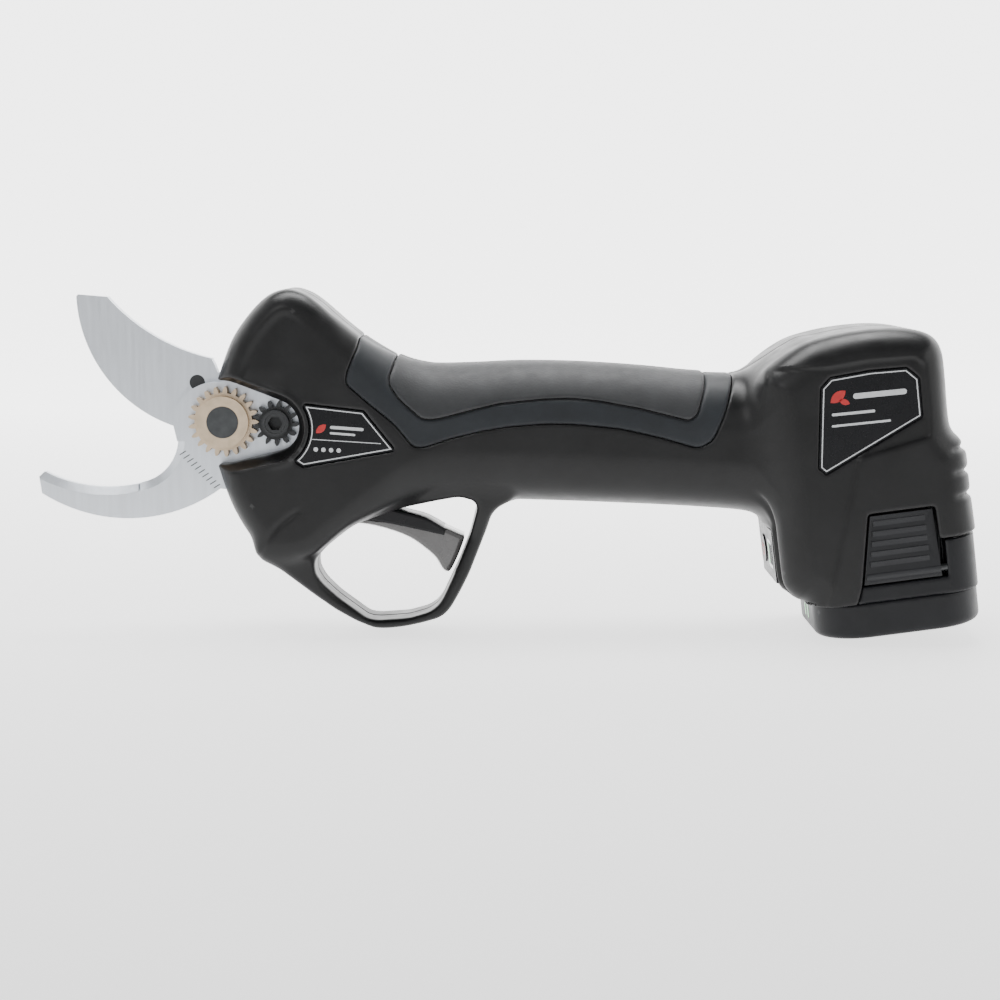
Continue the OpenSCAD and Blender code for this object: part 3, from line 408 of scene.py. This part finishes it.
def case_field(x, y, z):
    """Battery case: a hollow box cut back at its lower front, a tail that carries the
    catches' pins, a strip under the catches, and slots for the contacts."""
    u, w = to_pack(x, z)
    chin = chin_field(u, w)
    outer = meet(rounded_box(u + 2.9, y, 21.7, 21.2, 9), np.abs(w - 42.25) - 32.25, 1)
    wide = rounded_box(u - TAIL_U, y, TAIL_HALF_U, TAIL_HALF_Y, 10)
    tail = meet(wide, np.maximum(14.6 - u, np.abs(w - 17.4) - 7.5), 0.4)
    notch_edge = 0.36 * (w - 5) - 12.6
    strip = meet(wide, np.maximum(np.abs(w - 12.3) - 2.4, notch_edge - u), 0.4)
    outer = cut(np.minimum(outer, np.minimum(tail, strip)), -chin, 0.8)
    hollow = np.maximum(rounded_box(u + 2.7, y, 19.7, 18.9, 7), w - 72.5)
    case = np.maximum(outer, -np.maximum(hollow, 1.3 + chin))
    catch = rounded_box(u - 1.7 - 0.08 * (w - 25), w - 25.4, 11.6, 10.6, 0.6)
    case = cut(case, np.maximum(catch, 19.9 - np.abs(y)), 0.5)
    contact = rounded_box(np.abs(np.abs(y) - 2.7) - 2.7, u + 9, 0.9, 5, 0.3)
    return cut(case, np.maximum(contact, 71.5 - w), 0.2)


def foot_field(x, y, z):
    u, w = to_pack(x, z)
    plan = rounded_box(u - FOOT_U, y, FOOT_HALF_U, FOOT_HALF_Y, 14)
    return meet(meet(plan, 0.05 - w, 2.2), w - FOOT_TOP, 0.5)


# Meshes ------------------------------------------------------------------


def new_object(name, points, faces, smooth_angle=None):
    """An object in the scene. Edges bent by more than smooth_angle degrees stay sharp."""
    mesh = bpy.data.meshes.new(name)
    mesh.vertices.add(len(points))
    mesh.vertices.foreach_set("co", np.asarray(points, np.float32).ravel())
    sizes = np.array([len(f) for f in faces])
    mesh.loops.add(int(sizes.sum()))
    mesh.loops.foreach_set("vertex_index", np.concatenate([np.asarray(f) for f in faces])
                           if not isinstance(faces, np.ndarray) else faces.ravel())
    mesh.polygons.add(len(sizes))
    mesh.polygons.foreach_set("loop_start", np.concatenate([[0], np.cumsum(sizes)[:-1]]))
    mesh.update(calc_edges=True)
    mesh.validate()
    mesh.shade_smooth()
    if smooth_angle:
        mesh.set_sharp_from_angle(angle=math.radians(smooth_angle))
    obj = bpy.data.objects.new(name, mesh)
    bpy.context.scene.collection.objects.link(obj)
    return obj


def gradient(field, p):
    """Value and slope of a field at points."""
    e = 0.02
    at = field(*p.T)
    slope = np.column_stack([
        (field(*(p + np.eye(3)[a] * e).T) - at) / e for a in range(3)
    ])
    return at, slope


def surface(name, field, low, high):
    """A closed mesh where field is 0: surface nets, then pulled onto the field."""
    axes = [np.arange(a - 2 * STEP, b + 3 * STEP, STEP) for a, b in zip(low, high)]
    x, y, z = axes[0][:, None, None], axes[1][None, :, None], axes[2][None, None, :]
    value = np.broadcast_to(field(x, y, z), [len(a) for a in axes]).astype(np.float32)
    inside = value < 0
    cells = np.array(value.shape) - 1
    corner = np.array([(i, j, k) for i in (0, 1) for j in (0, 1) for k in (0, 1)])
    count = np.zeros(cells, np.int8)
    for c in corner:
        count += inside[tuple(slice(o, o + n) for o, n in zip(c, cells))]
    mixed = (count > 0) & (count < 8)
    index = np.full(cells, -1, np.int64)
    index[mixed] = np.arange(mixed.sum())
    cell = np.argwhere(mixed)
    total, hits = np.zeros((len(cell), 3)), np.zeros(len(cell))
    for a in range(3):
        for c in corner[corner[:, a] == 0]:
            start, end = cell + c, cell + c + np.eye(3, dtype=int)[a]
            v0, v1 = value[tuple(start.T)], value[tuple(end.T)]
            crossed = (v0 < 0) != (v1 < 0)
            t = np.where(crossed, v0 / np.where(crossed, v0 - v1, 1), 0)
            total += crossed[:, None] * (c + np.eye(3)[a] * t[:, None])
            hits += crossed
    points = (cell + total / hits[:, None]) * STEP + np.array([a[0] for a in axes])
    quads = []
    for a in range(3):
        b, c = (a + 1) % 3, (a + 2) % 3
        lower, upper = np.delete(inside, -1, a), np.delete(inside, 0, a)
        edge = np.argwhere(lower != upper)
        unit_b, unit_c = np.eye(3, dtype=int)[b], np.eye(3, dtype=int)[c]
        quad = np.column_stack([
            index[tuple((edge - unit_b - unit_c).T)], index[tuple((edge - unit_c).T)],
            index[tuple(edge.T)], index[tuple((edge - unit_b).T)],
        ])
        flip = ~lower[tuple(edge.T)]
        quad[flip] = quad[flip][:, ::-1]
        quads.append(quad)
    for _ in range(2):
        at, slope = gradient(field, points)
        squared = np.maximum((slope**2).sum(1), 0.25)
        points -= slope * np.clip(at / squared, -STEP / 2, STEP / 2)[:, None]
    return new_object(name, to_row(points), np.vstack(quads))


HOLE_EDGE = 0.01
SHARP = 32  # degrees


def plate_mesh(outline, levels, holes=()):
    """Points and faces of a flat piece. levels are (Y, how far in from the outline)."""
    outer = ccw(outline)
    out = outward(outer)
    loops = [[(outer - out * inset, y) for y, inset in levels]]
    first, last = levels[0][0], levels[-1][0]
    turn = 1 if last > first else -1
    for hole in holes:
        h = ccw(hole)[::-1]
        away = outward(h[::-1])[::-1]
        loops.append([(h + away * by, y) for y, by in (
            (first, HOLE_EDGE), (first + turn * HOLE_EDGE, 0), (last - turn * HOLE_EDGE, 0),
            (last, HOLE_EDGE))])
    points, faces = [], []
    caps = ([], [])
    for rings in loops:
        n = len(rings[0][0])
        base = len(points)
        for ring, y in rings:
            points += [(px, y, pz) for px, pz in ring]
        for r in range(len(rings) - 1):
            for i in range(n):
                a, b = base + r * n + i, base + r * n + (i + 1) % n
                faces.append((a, b, b + n, a + n))
        caps[0].append(range(base, base + n))
        caps[1].append(range(base + (len(rings) - 1) * n, base + len(rings) * n))
    for end, cap in enumerate(caps):
        ids = [i for loop in cap for i in loop]
        shape = [[Vector((points[i][0], points[i][2], 0)) for i in loop] for loop in cap]
        for tri in tessellate_polygon(shape):
            face = [ids[t] for t in tri]
            p = [points[i] for i in face]
            area = ((p[1][0] - p[0][0]) * (p[2][2] - p[0][2])
                    - (p[2][0] - p[0][0]) * (p[1][2] - p[0][2]))
            if abs(area) < 1e-9:
                continue
            faces.append(tuple(face if (area > 0) == (end == 0) else face[::-1]))
    if turn < 0:
        faces = [f[::-1] for f in faces]
    return points, faces


def plate(name, outline, levels):
    points, faces = plate_mesh(outline, levels)
    return new_object(name, to_row(points), faces, SHARP)


def printed(name, marks, levels, where=None):
    """One object of several flat marks, each an outline or an outline with its holes.
    where turns a mark's three coordinates into millimetres from the pivot."""
    points, faces = [], []
    for mark in marks:
        outline, holes = mark if isinstance(mark, tuple) else (mark, ())
        for level in levels:
            more, sides = plate_mesh(outline, level, holes)
            faces += [tuple(i + len(points) for i in f) for f in sides]
            points += more
    place = points if where is None else [where(*p) for p in points]
    return new_object(name, to_row(place), faces, SHARP)


def bar(a, b, thick):
    """A straight line with round ends, as an outline."""
    lean = math.degrees(math.atan2(b[1] - a[1], b[0] - a[0]))
    return np.array(arc(b, thick / 2, lean - 90, lean + 90, 6)
                    + arc(a, thick / 2, lean + 90, lean + 270, 6))


def leaf(at, long, wide, lean):
    """A pointed leaf."""
    a = np.linspace(0, 1, 9)
    half = wide / 2 * np.sin(np.pi * a) ** 0.8
    flat = np.vstack([np.column_stack([(a - 0.5) * long, -half]),
                      np.column_stack([(0.5 - a[1:-1]) * long, half[::-1][1:-1]])])
    c, n = math.cos(math.radians(lean)), math.sin(math.radians(lean))
    return flat @ np.array([[c, n], [-n, c]]) + at


def rounded(y0, y1, edge):
    """Levels of a plate from Y y0 to y1 with softened edges."""
    turn = 1 if y1 > y0 else -1
    return [(y0, edge), (y0 + turn * 0.3 * edge, 0.3 * edge), (y0 + turn * edge, 0),
            (y1 - turn * edge, 0), (y1 - turn * 0.3 * edge, 0.3 * edge), (y1, edge)]


def circle(at, r, count):
    return arc(at, r, 0, 360 * (1 - 1 / count), count - 1)


# Materials ---------------------------------------------------------------


ROUGH_SPREAD = 0.06


def material(name, colour, roughness, metallic=0.0, spread=0.15, patch=60, gloss=0.5,
             bump=(1800, 0.12, 0.00004), stretch=(1, 1, 1), coat=0.0, edge_light=0.0,
             emission=None, sheen=0.0):
    """A shader whose colour, roughness and relief vary at real scales. patch and the first
    of bump are noise scales per metre, then come the bump's strength and its depth in metres;
    edge_light is how much of a paler tone the edges take."""
    m = bpy.data.materials.new(name)
    m.use_nodes = True
    nodes, links = m.node_tree.nodes, m.node_tree.links
    shader = nodes["Principled BSDF"]
    shader.inputs["Metallic"].default_value = metallic
    shader.inputs["Specular IOR Level"].default_value = gloss
    if coat:
        shader.inputs["Coat Weight"].default_value = coat
        shader.inputs["Coat Roughness"].default_value = 0.12
    if sheen:
        shader.inputs["Sheen Weight"].default_value = sheen
        shader.inputs["Sheen Roughness"].default_value = 0.5
    if emission:
        shader.inputs["Emission Color"].default_value = (*emission[0], 1)
        shader.inputs["Emission Strength"].default_value = emission[1]
    where = nodes.new("ShaderNodeTexCoord")

    def noise(scale, detail, scaling=(1, 1, 1)):
        mapping = nodes.new("ShaderNodeMapping")
        mapping.inputs["Scale"].default_value = scaling
        links.new(where.outputs["Object"], mapping.inputs["Vector"])
        texture = nodes.new("ShaderNodeTexNoise")
        texture.inputs["Scale"].default_value = scale
        texture.inputs["Detail"].default_value = detail
        links.new(mapping.outputs["Vector"], texture.inputs["Vector"])
        return texture.outputs["Fac"]

    def ramp(value, low, high, start=0.3, end=0.7):
        out = nodes.new("ShaderNodeMapRange")
        for socket, number in (("From Min", start), ("From Max", end), ("To Min", low),
                               ("To Max", high)):
            out.inputs[socket].default_value = number
        links.new(value, out.inputs["Value"])
        return out.outputs["Result"]

    def mix(fac, a, b):
        out = nodes.new("ShaderNodeMix")
        out.data_type = "RGBA"
        links.new(fac, out.inputs["Factor"])
        for socket, side in ((out.inputs[6], a), (out.inputs[7], b)):
            if isinstance(side, tuple):
                socket.default_value = (*side, 1)
            else:
                links.new(side, socket)
        return out.outputs[2]

    dark = tuple(c * (1 - spread) for c in colour)
    pale = tuple(min(1, c * (1 + spread)) for c in colour)
    tone = mix(ramp(noise(patch, 4, stretch), 0.0, 1.0), dark, pale)
    if edge_light:
        shape = nodes.new("ShaderNodeNewGeometry")
        worn = tuple(min(1, c * 2.2 + 0.03) for c in colour)
        tone = mix(ramp(shape.outputs["Pointiness"], 0.0, edge_light, 0.53, 0.62), tone, worn)
    links.new(tone, shader.inputs["Base Color"])
    links.new(ramp(noise(patch * 2.3, 5, stretch), roughness - ROUGH_SPREAD,
                   roughness + ROUGH_SPREAD), shader.inputs["Roughness"])
    relief = nodes.new("ShaderNodeBump")
    relief.inputs["Strength"].default_value = bump[1]
    relief.inputs["Distance"].default_value = bump[2]
    links.new(noise(bump[0], 3, stretch), relief.inputs["Height"])
    links.new(relief.outputs["Normal"], shader.inputs["Normal"])
    return m


BRUSHED = (1, 1, 0.05)  # noise drawn out along Z
paint = {
    "casing": material("casing_plastic", (0.0052, 0.0053, 0.0056), 0.36, spread=0.25,
                       patch=90, gloss=0.24, bump=(1500, 0.35, 0.00005), edge_light=0.5),
    "band": material("band_rubber", (0.010, 0.012, 0.0145), 0.5, patch=120, gloss=0.22,
                     bump=(2600, 0.35, 0.00005), sheen=0.1, edge_light=0.3),
    "pad": material("pad_rubber", (0.017, 0.018, 0.0195), 0.56, patch=150, gloss=0.25,
                    bump=(1700, 0.6, 0.00010), sheen=0.15, edge_light=0.3),
    "battery": material("battery_plastic", (0.003, 0.0034, 0.0046), 0.38, spread=0.25,
                        patch=90, gloss=0.22, bump=(1700, 0.3, 0.00005), edge_light=0.5),
    "blade": material("blade_steel", (0.58, 0.61, 0.65), 0.36, 1.0, spread=0.05, patch=700,
                      bump=(1500, 0.1, 0.00002), stretch=BRUSHED),
    "nut": material("sintered_bronze", (0.5, 0.4, 0.29), 0.45, 1.0, spread=0.1, patch=400,
                    bump=(2600, 0.4, 0.00003)),
    "dark_steel": material("black_steel", (0.014, 0.015, 0.016), 0.36, 0.5, patch=300,
                           bump=(2200, 0.3, 0.00003), edge_light=0.4),
    "bolt": material("bolt_steel", (0.055, 0.058, 0.06), 0.36, 0.8, patch=350,
                     bump=(2000, 0.3, 0.00003)),
    "steel": material("ground_steel", (0.5, 0.51, 0.52), 0.33, 1.0, patch=400,
                      bump=(1800, 0.3, 0.00002)),
    "alloy": material("cast_alloy", (0.46, 0.47, 0.48), 0.5, 1.0, patch=300,
                      bump=(900, 0.4, 0.00006)),
    "trigger": material("trigger_plastic", (0.005, 0.005, 0.006), 0.3, spread=0.2,
                        patch=120, gloss=0.2, bump=(1500, 0.12, 0.00003)),
    "finger": material("finger_plastic", (0.05, 0.048, 0.048), 0.24, spread=0.2, patch=120,
                       bump=(1500, 0.1, 0.00003), coat=0.5),
    "label": material("label_plate", (0.0035, 0.0038, 0.0048), 0.28, patch=150, gloss=0.2,
                      bump=(900, 0.08, 0.00002)),
    "white": material("print_white", (0.42, 0.43, 0.44), 0.4, spread=0.06, patch=500),
    "red": material("print_red", (0.34, 0.008, 0.008), 0.38, spread=0.1, patch=500),
    "board": material("circuit_board", (0.015, 0.10, 0.045), 0.45, patch=500),
    "wire": material("wire_red", (0.38, 0.03, 0.025), 0.4, patch=500),
    "cell": material("cell_wrap", (0.03, 0.16, 0.09), 0.4, patch=300),
    "panel": material("panel_plastic", (0.005, 0.005, 0.006), 0.3, patch=200, gloss=0.2,
                      bump=(1500, 0.2, 0.00004)),
    "green": material("green_lens", (0.05, 0.42, 0.10), 0.25, patch=500, coat=0.5,
                      emission=((0.05, 0.85, 0.15), 0.35)),
    "smoke": material("smoked_lens", (0.03, 0.045, 0.04), 0.2, patch=500, coat=0.6),
}


def dress(obj, look, *, body=None, replaces=()):
    """Gives a piece its material and, if it is new, its body, and hides the nodes it replaces."""
    obj.data.materials.clear()
    obj.data.materials.append(paint[look])
    if body:
        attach(obj, body)
    if replaces:
        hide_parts(*replaces)
    return obj


def soften(obj, width):
    """Bevels the edges of a CAD node that are bent by more than 35 degrees."""
    bevel = obj.modifiers.new("edges", "BEVEL")
    bevel.width = width * MM
    bevel.segments = 2
    bevel.limit_method = "ANGLE"
    bevel.angle_limit = math.radians(35)
    bevel.use_clamp_overlap = True


# Casings, inlays, battery foot and case -------------------------------------------------

for side, name in ((-1, "left"), (1, "right")):
    low_y, high_y = (-26, 0.6) if side < 0 else (-0.6, 26)
    dress(surface(f"shell_{name}", casing_field(side), (-3, low_y, -62), (218, high_y, 40)),
          "casing", body="tool", replaces=[f"casing_{name}"])
    dress(surface(f"band_{name}", inlay_field(side, BAND, PAD, -0.05),
                  (33, min(side * 18, 0), -8), (144, max(side * 18, 0), 27)),
          "band", body="tool", replaces=[f"grip_band_{name}"])
    dress(surface(f"pad_{name}", inlay_field(side, PAD, None, 0.35),
                  (44, min(side * 18, 0), 0), (136, max(side * 18, 0), 21)),
          "pad", body="tool", replaces=[f"grip_pad_{name}"])

dress(surface("foot", foot_field, (158, -24, -63), (217, 24, -42)),
      "battery", body="battery", replaces=["battery_base"])
dress(surface("case", case_field, (150, -24, -52), (216, 24, 22)),
      "battery", body="battery", replaces=["battery_case"])

# Trigger: a dark arm with a glossy finger surface under it ------------------

ARM = np.vstack([
    spline([(30, -21.8), (36, -22.6), (42, -23.6), (46.9, -24.9), (51.2, -26.1), (56.7, -27.6),
            (62.1, -30.6)]),
    spline([(61.7, -32.6), (52.8, -30.6), (44.9, -29), (39.3, -28.2), (35, -28.4), (31, -30)]),
    np.array(arc((31, -26), 4, 250, 110, 10)),
])
FINGER = np.vstack([
    spline([(35.5, -27.4), (44.9, -27.6), (52, -28.2), (58, -29.2), (62.3, -30.6),
            (67.2, -32.8)]),
    spline([(67.3, -33.8), (65.8, -37.9), (63.7, -42.3), (62.4, -43.2), (61, -42.2),
            (59.1, -39.1), (56, -36.3), (52, -33.5), (46.9, -31.4), (40.9, -29.8),
            (36.2, -29.2)]),
])
arm = plate("trigger_arm", ARM, rounded(-5.2, 5.2, 0.7))
dress(arm, "trigger", body="trigger", replaces=["trigger"])
finger = plate("trigger_finger", FINGER, rounded(-4.6, 4.6, 1.3))
dress(finger, "finger", body="trigger", replaces=["trigger"])

# Label plates with generic marks, on both sides of the tool --------------------


def label(place, outline, face, white, red):
    """A plate sunk in the casing, its face at Y face, with a border and marks just proud."""
    node = f"{place}_labels"
    flat = [[(s * (face - 0.75), 0), (s * (face - 0.12), 0), (s * face, 0.12)] for s in (-1, 1)]
    ink = [[(s * (face - 0.02), 0), (s * (face + 0.06), 0)] for s in (-1, 1)]
    outline = ccw(outline)
    border = (grow(outline, 0.15), [grow(outline, -0.17)])
    dress(printed(f"{place}_plates", [grow(outline, 0.7)], flat), "label",
          body="tool", replaces=[node])
    dress(printed(f"{place}_marks", [border] + white, ink), "white", body="tool",
          replaces=[node])
    dress(printed(f"{place}_leaf", red, ink), "red", body="tool",
          replaces=[node])


label("head", HEAD_LABEL, HEAD_LABEL_Y,
      [bar((25.9, -3.9), (44.6, -5.1), 0.22), bar((31.2, -0.6), (39.6, -1.2), 0.85),
       bar((31, -2.2), (37.4, -2.7), 0.6)]
      + [circle((26.8 + 2.1 * k, -6.7 - 0.1 * k), 0.62, 16) for k in range(4)],
      [leaf((28.3, -1), 3.6, 1.9, 40)])
label("side", SIDE_LABEL, SIDE_LABEL_Y,
      [bar((173.6, 8.6), (186.6, 9.9), 1.5), bar((167.6, 3.5), (178.6, 4.6), 0.75),
       bar((167.6, 0.4), (183, 2), 0.6)],
      [leaf((168.8, 8.4), 5.2, 2.7, 40), leaf((170.6, 7), 3, 1.6, -18)])

# Power symbol on the button, bars in the charge window and lights on the foot

BUTTON_U, CHARGE_U = -31.29, -31
SYMBOL_Y, SYMBOL_W = 5.2, 23.8
PRINT = [[(0, 0), (0.05, 0)]]


def on_panel(u):
    """Turns a mark's place into one on a face that looks forward at U u."""
    return lambda y, out, w: from_pack(u - out, y, w)


symbol = [
    np.array(arc((SYMBOL_Y, SYMBOL_W), 2.05, -235, 55, 24)
             + arc((SYMBOL_Y, SYMBOL_W), 1.5, 55, -235, 24)),
    bar((SYMBOL_Y, 24.3), (SYMBOL_Y, 26.1), 0.55),
]
dress(printed("power_symbol", symbol, PRINT, on_panel(BUTTON_U)), "red",
      body="power_button")
for name, look, cells in (("charge_cell", "green", [-3.6]), ("dim_cells", "band", [-5.7, -7.8])):
    marks = [bar((y, 21.7), (y, 26.3), 1.6) for y in cells]
    dress(printed(name, marks, PRINT, on_panel(CHARGE_U)), look, body="tool")
lights = [bar((y, 4), (y, 7.4), 1.2) for y in (-2.2, 2.2)]
dress(printed("foot_lights", lights, [[(-0.4, 0), (0.06, 0)]],
              on_panel(FOOT_U - FOOT_HALF_U)),
      "green", body="battery", replaces=["charge_lights"])

# Adjustment scale on the fixed blade, beside the nut
ticks = [bar((-12.9 + 1.05 * k, -9.6 - 1.05 * k), (-11.3 + 1.05 * k, -8.6 - 1.05 * k), 0.28)
         for k in range(10)]
dress(printed("blade_scale", ticks, [[(-3.98, 0), (-4.04, 0)]]), "bolt",
      body="tool")

# CAD nodes that keep their shape -------------------------------------------

KEPT = {
    "dark_steel": ["lock_gear", "lock_screw", "frame_screws", "casing_screws", "catch_pins",
                   "drive_dowels"],
    "bolt": ["pivot_bolt"],
    "nut": ["blade_nut", "pivot_bush"],
    "steel": ["sector_gear", "bevel_pinion", "pinion_bearing", "planet_gear_a",
              "planet_gear_b", "planet_gear_c", "ring_gear", "motor_can", "motor_magnets",
              "motor_bearings", "rotor", "trigger_pin", "trigger_spring", "trigger_magnet",
              "catch_springs", "cell_straps", "battery_sockets", "bay_terminals"],
    "blade": ["moving_blade", "fixed_blade"],
    "alloy": ["gear_frame"],
    "panel": ["motor_end_cap", "power_panel", "power_button"],
    "board": ["main_board", "sensor_board", "battery_board"],
    "wire": ["motor_wires", "power_wires"],
    "battery": ["catch_left", "catch_right"],
    "cell": ["battery_cells"],
    "smoke": ["power_window"],
}
for look, names in KEPT.items():
    for name in names:
        dress(frame["nodes"][name], look)
for name, width in (("moving_blade", 0.2), ("fixed_blade", 0.2), ("blade_nut", 0.15),
                    ("lock_gear", 0.15), ("pivot_bolt", 0.25), ("catch_left", 0.25),
                    ("catch_right", 0.25), ("power_panel", 0.3), ("power_button", 0.3)):
    soften(frame["nodes"][name], width)

# Floor, light and camera ----------------------------------------------------

# A round floor that curves up into a wall, in metres: rings of radius and height
FLOOR_R, CURVE_R, WALL_TOP, FLOOR_DROP, TURNS = 1.1, 0.9, 1.8, 0.0002, 64
profile = [(0.4, 0.0), (0.8, 0.0), (FLOOR_R, 0.0)] + [
    (FLOOR_R + CURVE_R * math.sin(a), CURVE_R * (1 - math.cos(a)))
    for a in np.radians(np.linspace(8, 90, 12))
] + [(FLOOR_R + CURVE_R, WALL_TOP)]
ring = np.radians(np.arange(TURNS) * 360 / TURNS)
stage_points = [(r * math.cos(a), r * math.sin(a), z - FLOOR_DROP)
                for r, z in profile for a in ring]
stage_points.append((0, 0, -FLOOR_DROP))
stage_faces = [
    (i * TURNS + k, i * TURNS + (k + 1) % TURNS, (i + 1) * TURNS + (k + 1) % TURNS,
     (i + 1) * TURNS + k)
    for i in range(len(profile) - 1) for k in range(TURNS)
] + [(len(stage_points) - 1, (k + 1) % TURNS, k) for k in range(TURNS)]
floor = new_object("studio_floor", stage_points, [f[::-1] for f in stage_faces])
studio = material("studio_white", (0.3, 0.3, 0.3), 0.7, spread=0.01, gloss=0.1,
                  emission=((1, 1, 1), 1))
floor.data.materials.append(studio)
# The floor glows more towards the back, so that the background is pale
nodes, links = studio.node_tree.nodes, studio.node_tree.links
split, glow = nodes.new("ShaderNodeSeparateXYZ"), nodes.new("ShaderNodeMapRange")
links.new(nodes["Texture Coordinate"].outputs["Object"], split.inputs["Vector"])
for socket, number in (("From Min", -0.5), ("From Max", 0.7), ("To Min", 0.5), ("To Max", 3.8)):
    glow.inputs[socket].default_value = number
links.new(split.outputs["Y"], glow.inputs["Value"])
links.new(glow.outputs["Result"], nodes["Principled BSDF"].inputs["Emission Strength"])

world = bpy.data.worlds.new("studio")
world.use_nodes = True
background = world.node_tree.nodes["Background"]
background.inputs["Color"].default_value = (0.95, 0.97, 1, 1)
background.inputs["Strength"].default_value = 0.12
bpy.context.scene.world = world


def softbox(name, at, target, size, power):
    light = bpy.data.lights.new(name, "AREA")
    light.shape = "RECTANGLE"
    light.size, light.size_y = size
    light.energy = power
    obj = bpy.data.objects.new(name, light)
    obj.location = at
    obj.rotation_euler = (Vector(target) - Vector(at)).to_track_quat("-Z", "Y").to_euler()
    bpy.context.scene.collection.objects.link(obj)


softbox("top_light", (-0.05, 0.10, 0.75), (0, 0, 0.05), (0.8, 0.35), 14)
softbox("front_light", (-0.45, -0.8, 0.5), (0, 0, 0.05), (0.3, 0.3), 1.5)
softbox("right_light", (0.7, -0.35, 0.35), (0.08, 0, 0.05), (0.4, 0.5), 1.2)

camera = bpy.data.objects.new("photo_camera", bpy.data.cameras.new("photo_camera"))
camera.data.lens = 64.8
camera.data.sensor_width = 36
camera.location = (-0.0033, -0.5093, 0.1091)
aim = Vector((-0.0033, 0, 0.0375)) - camera.location
camera.rotation_euler = aim.to_track_quat("-Z", "Y").to_euler()
bpy.context.scene.collection.objects.link(camera)
bpy.context.scene.camera = camera
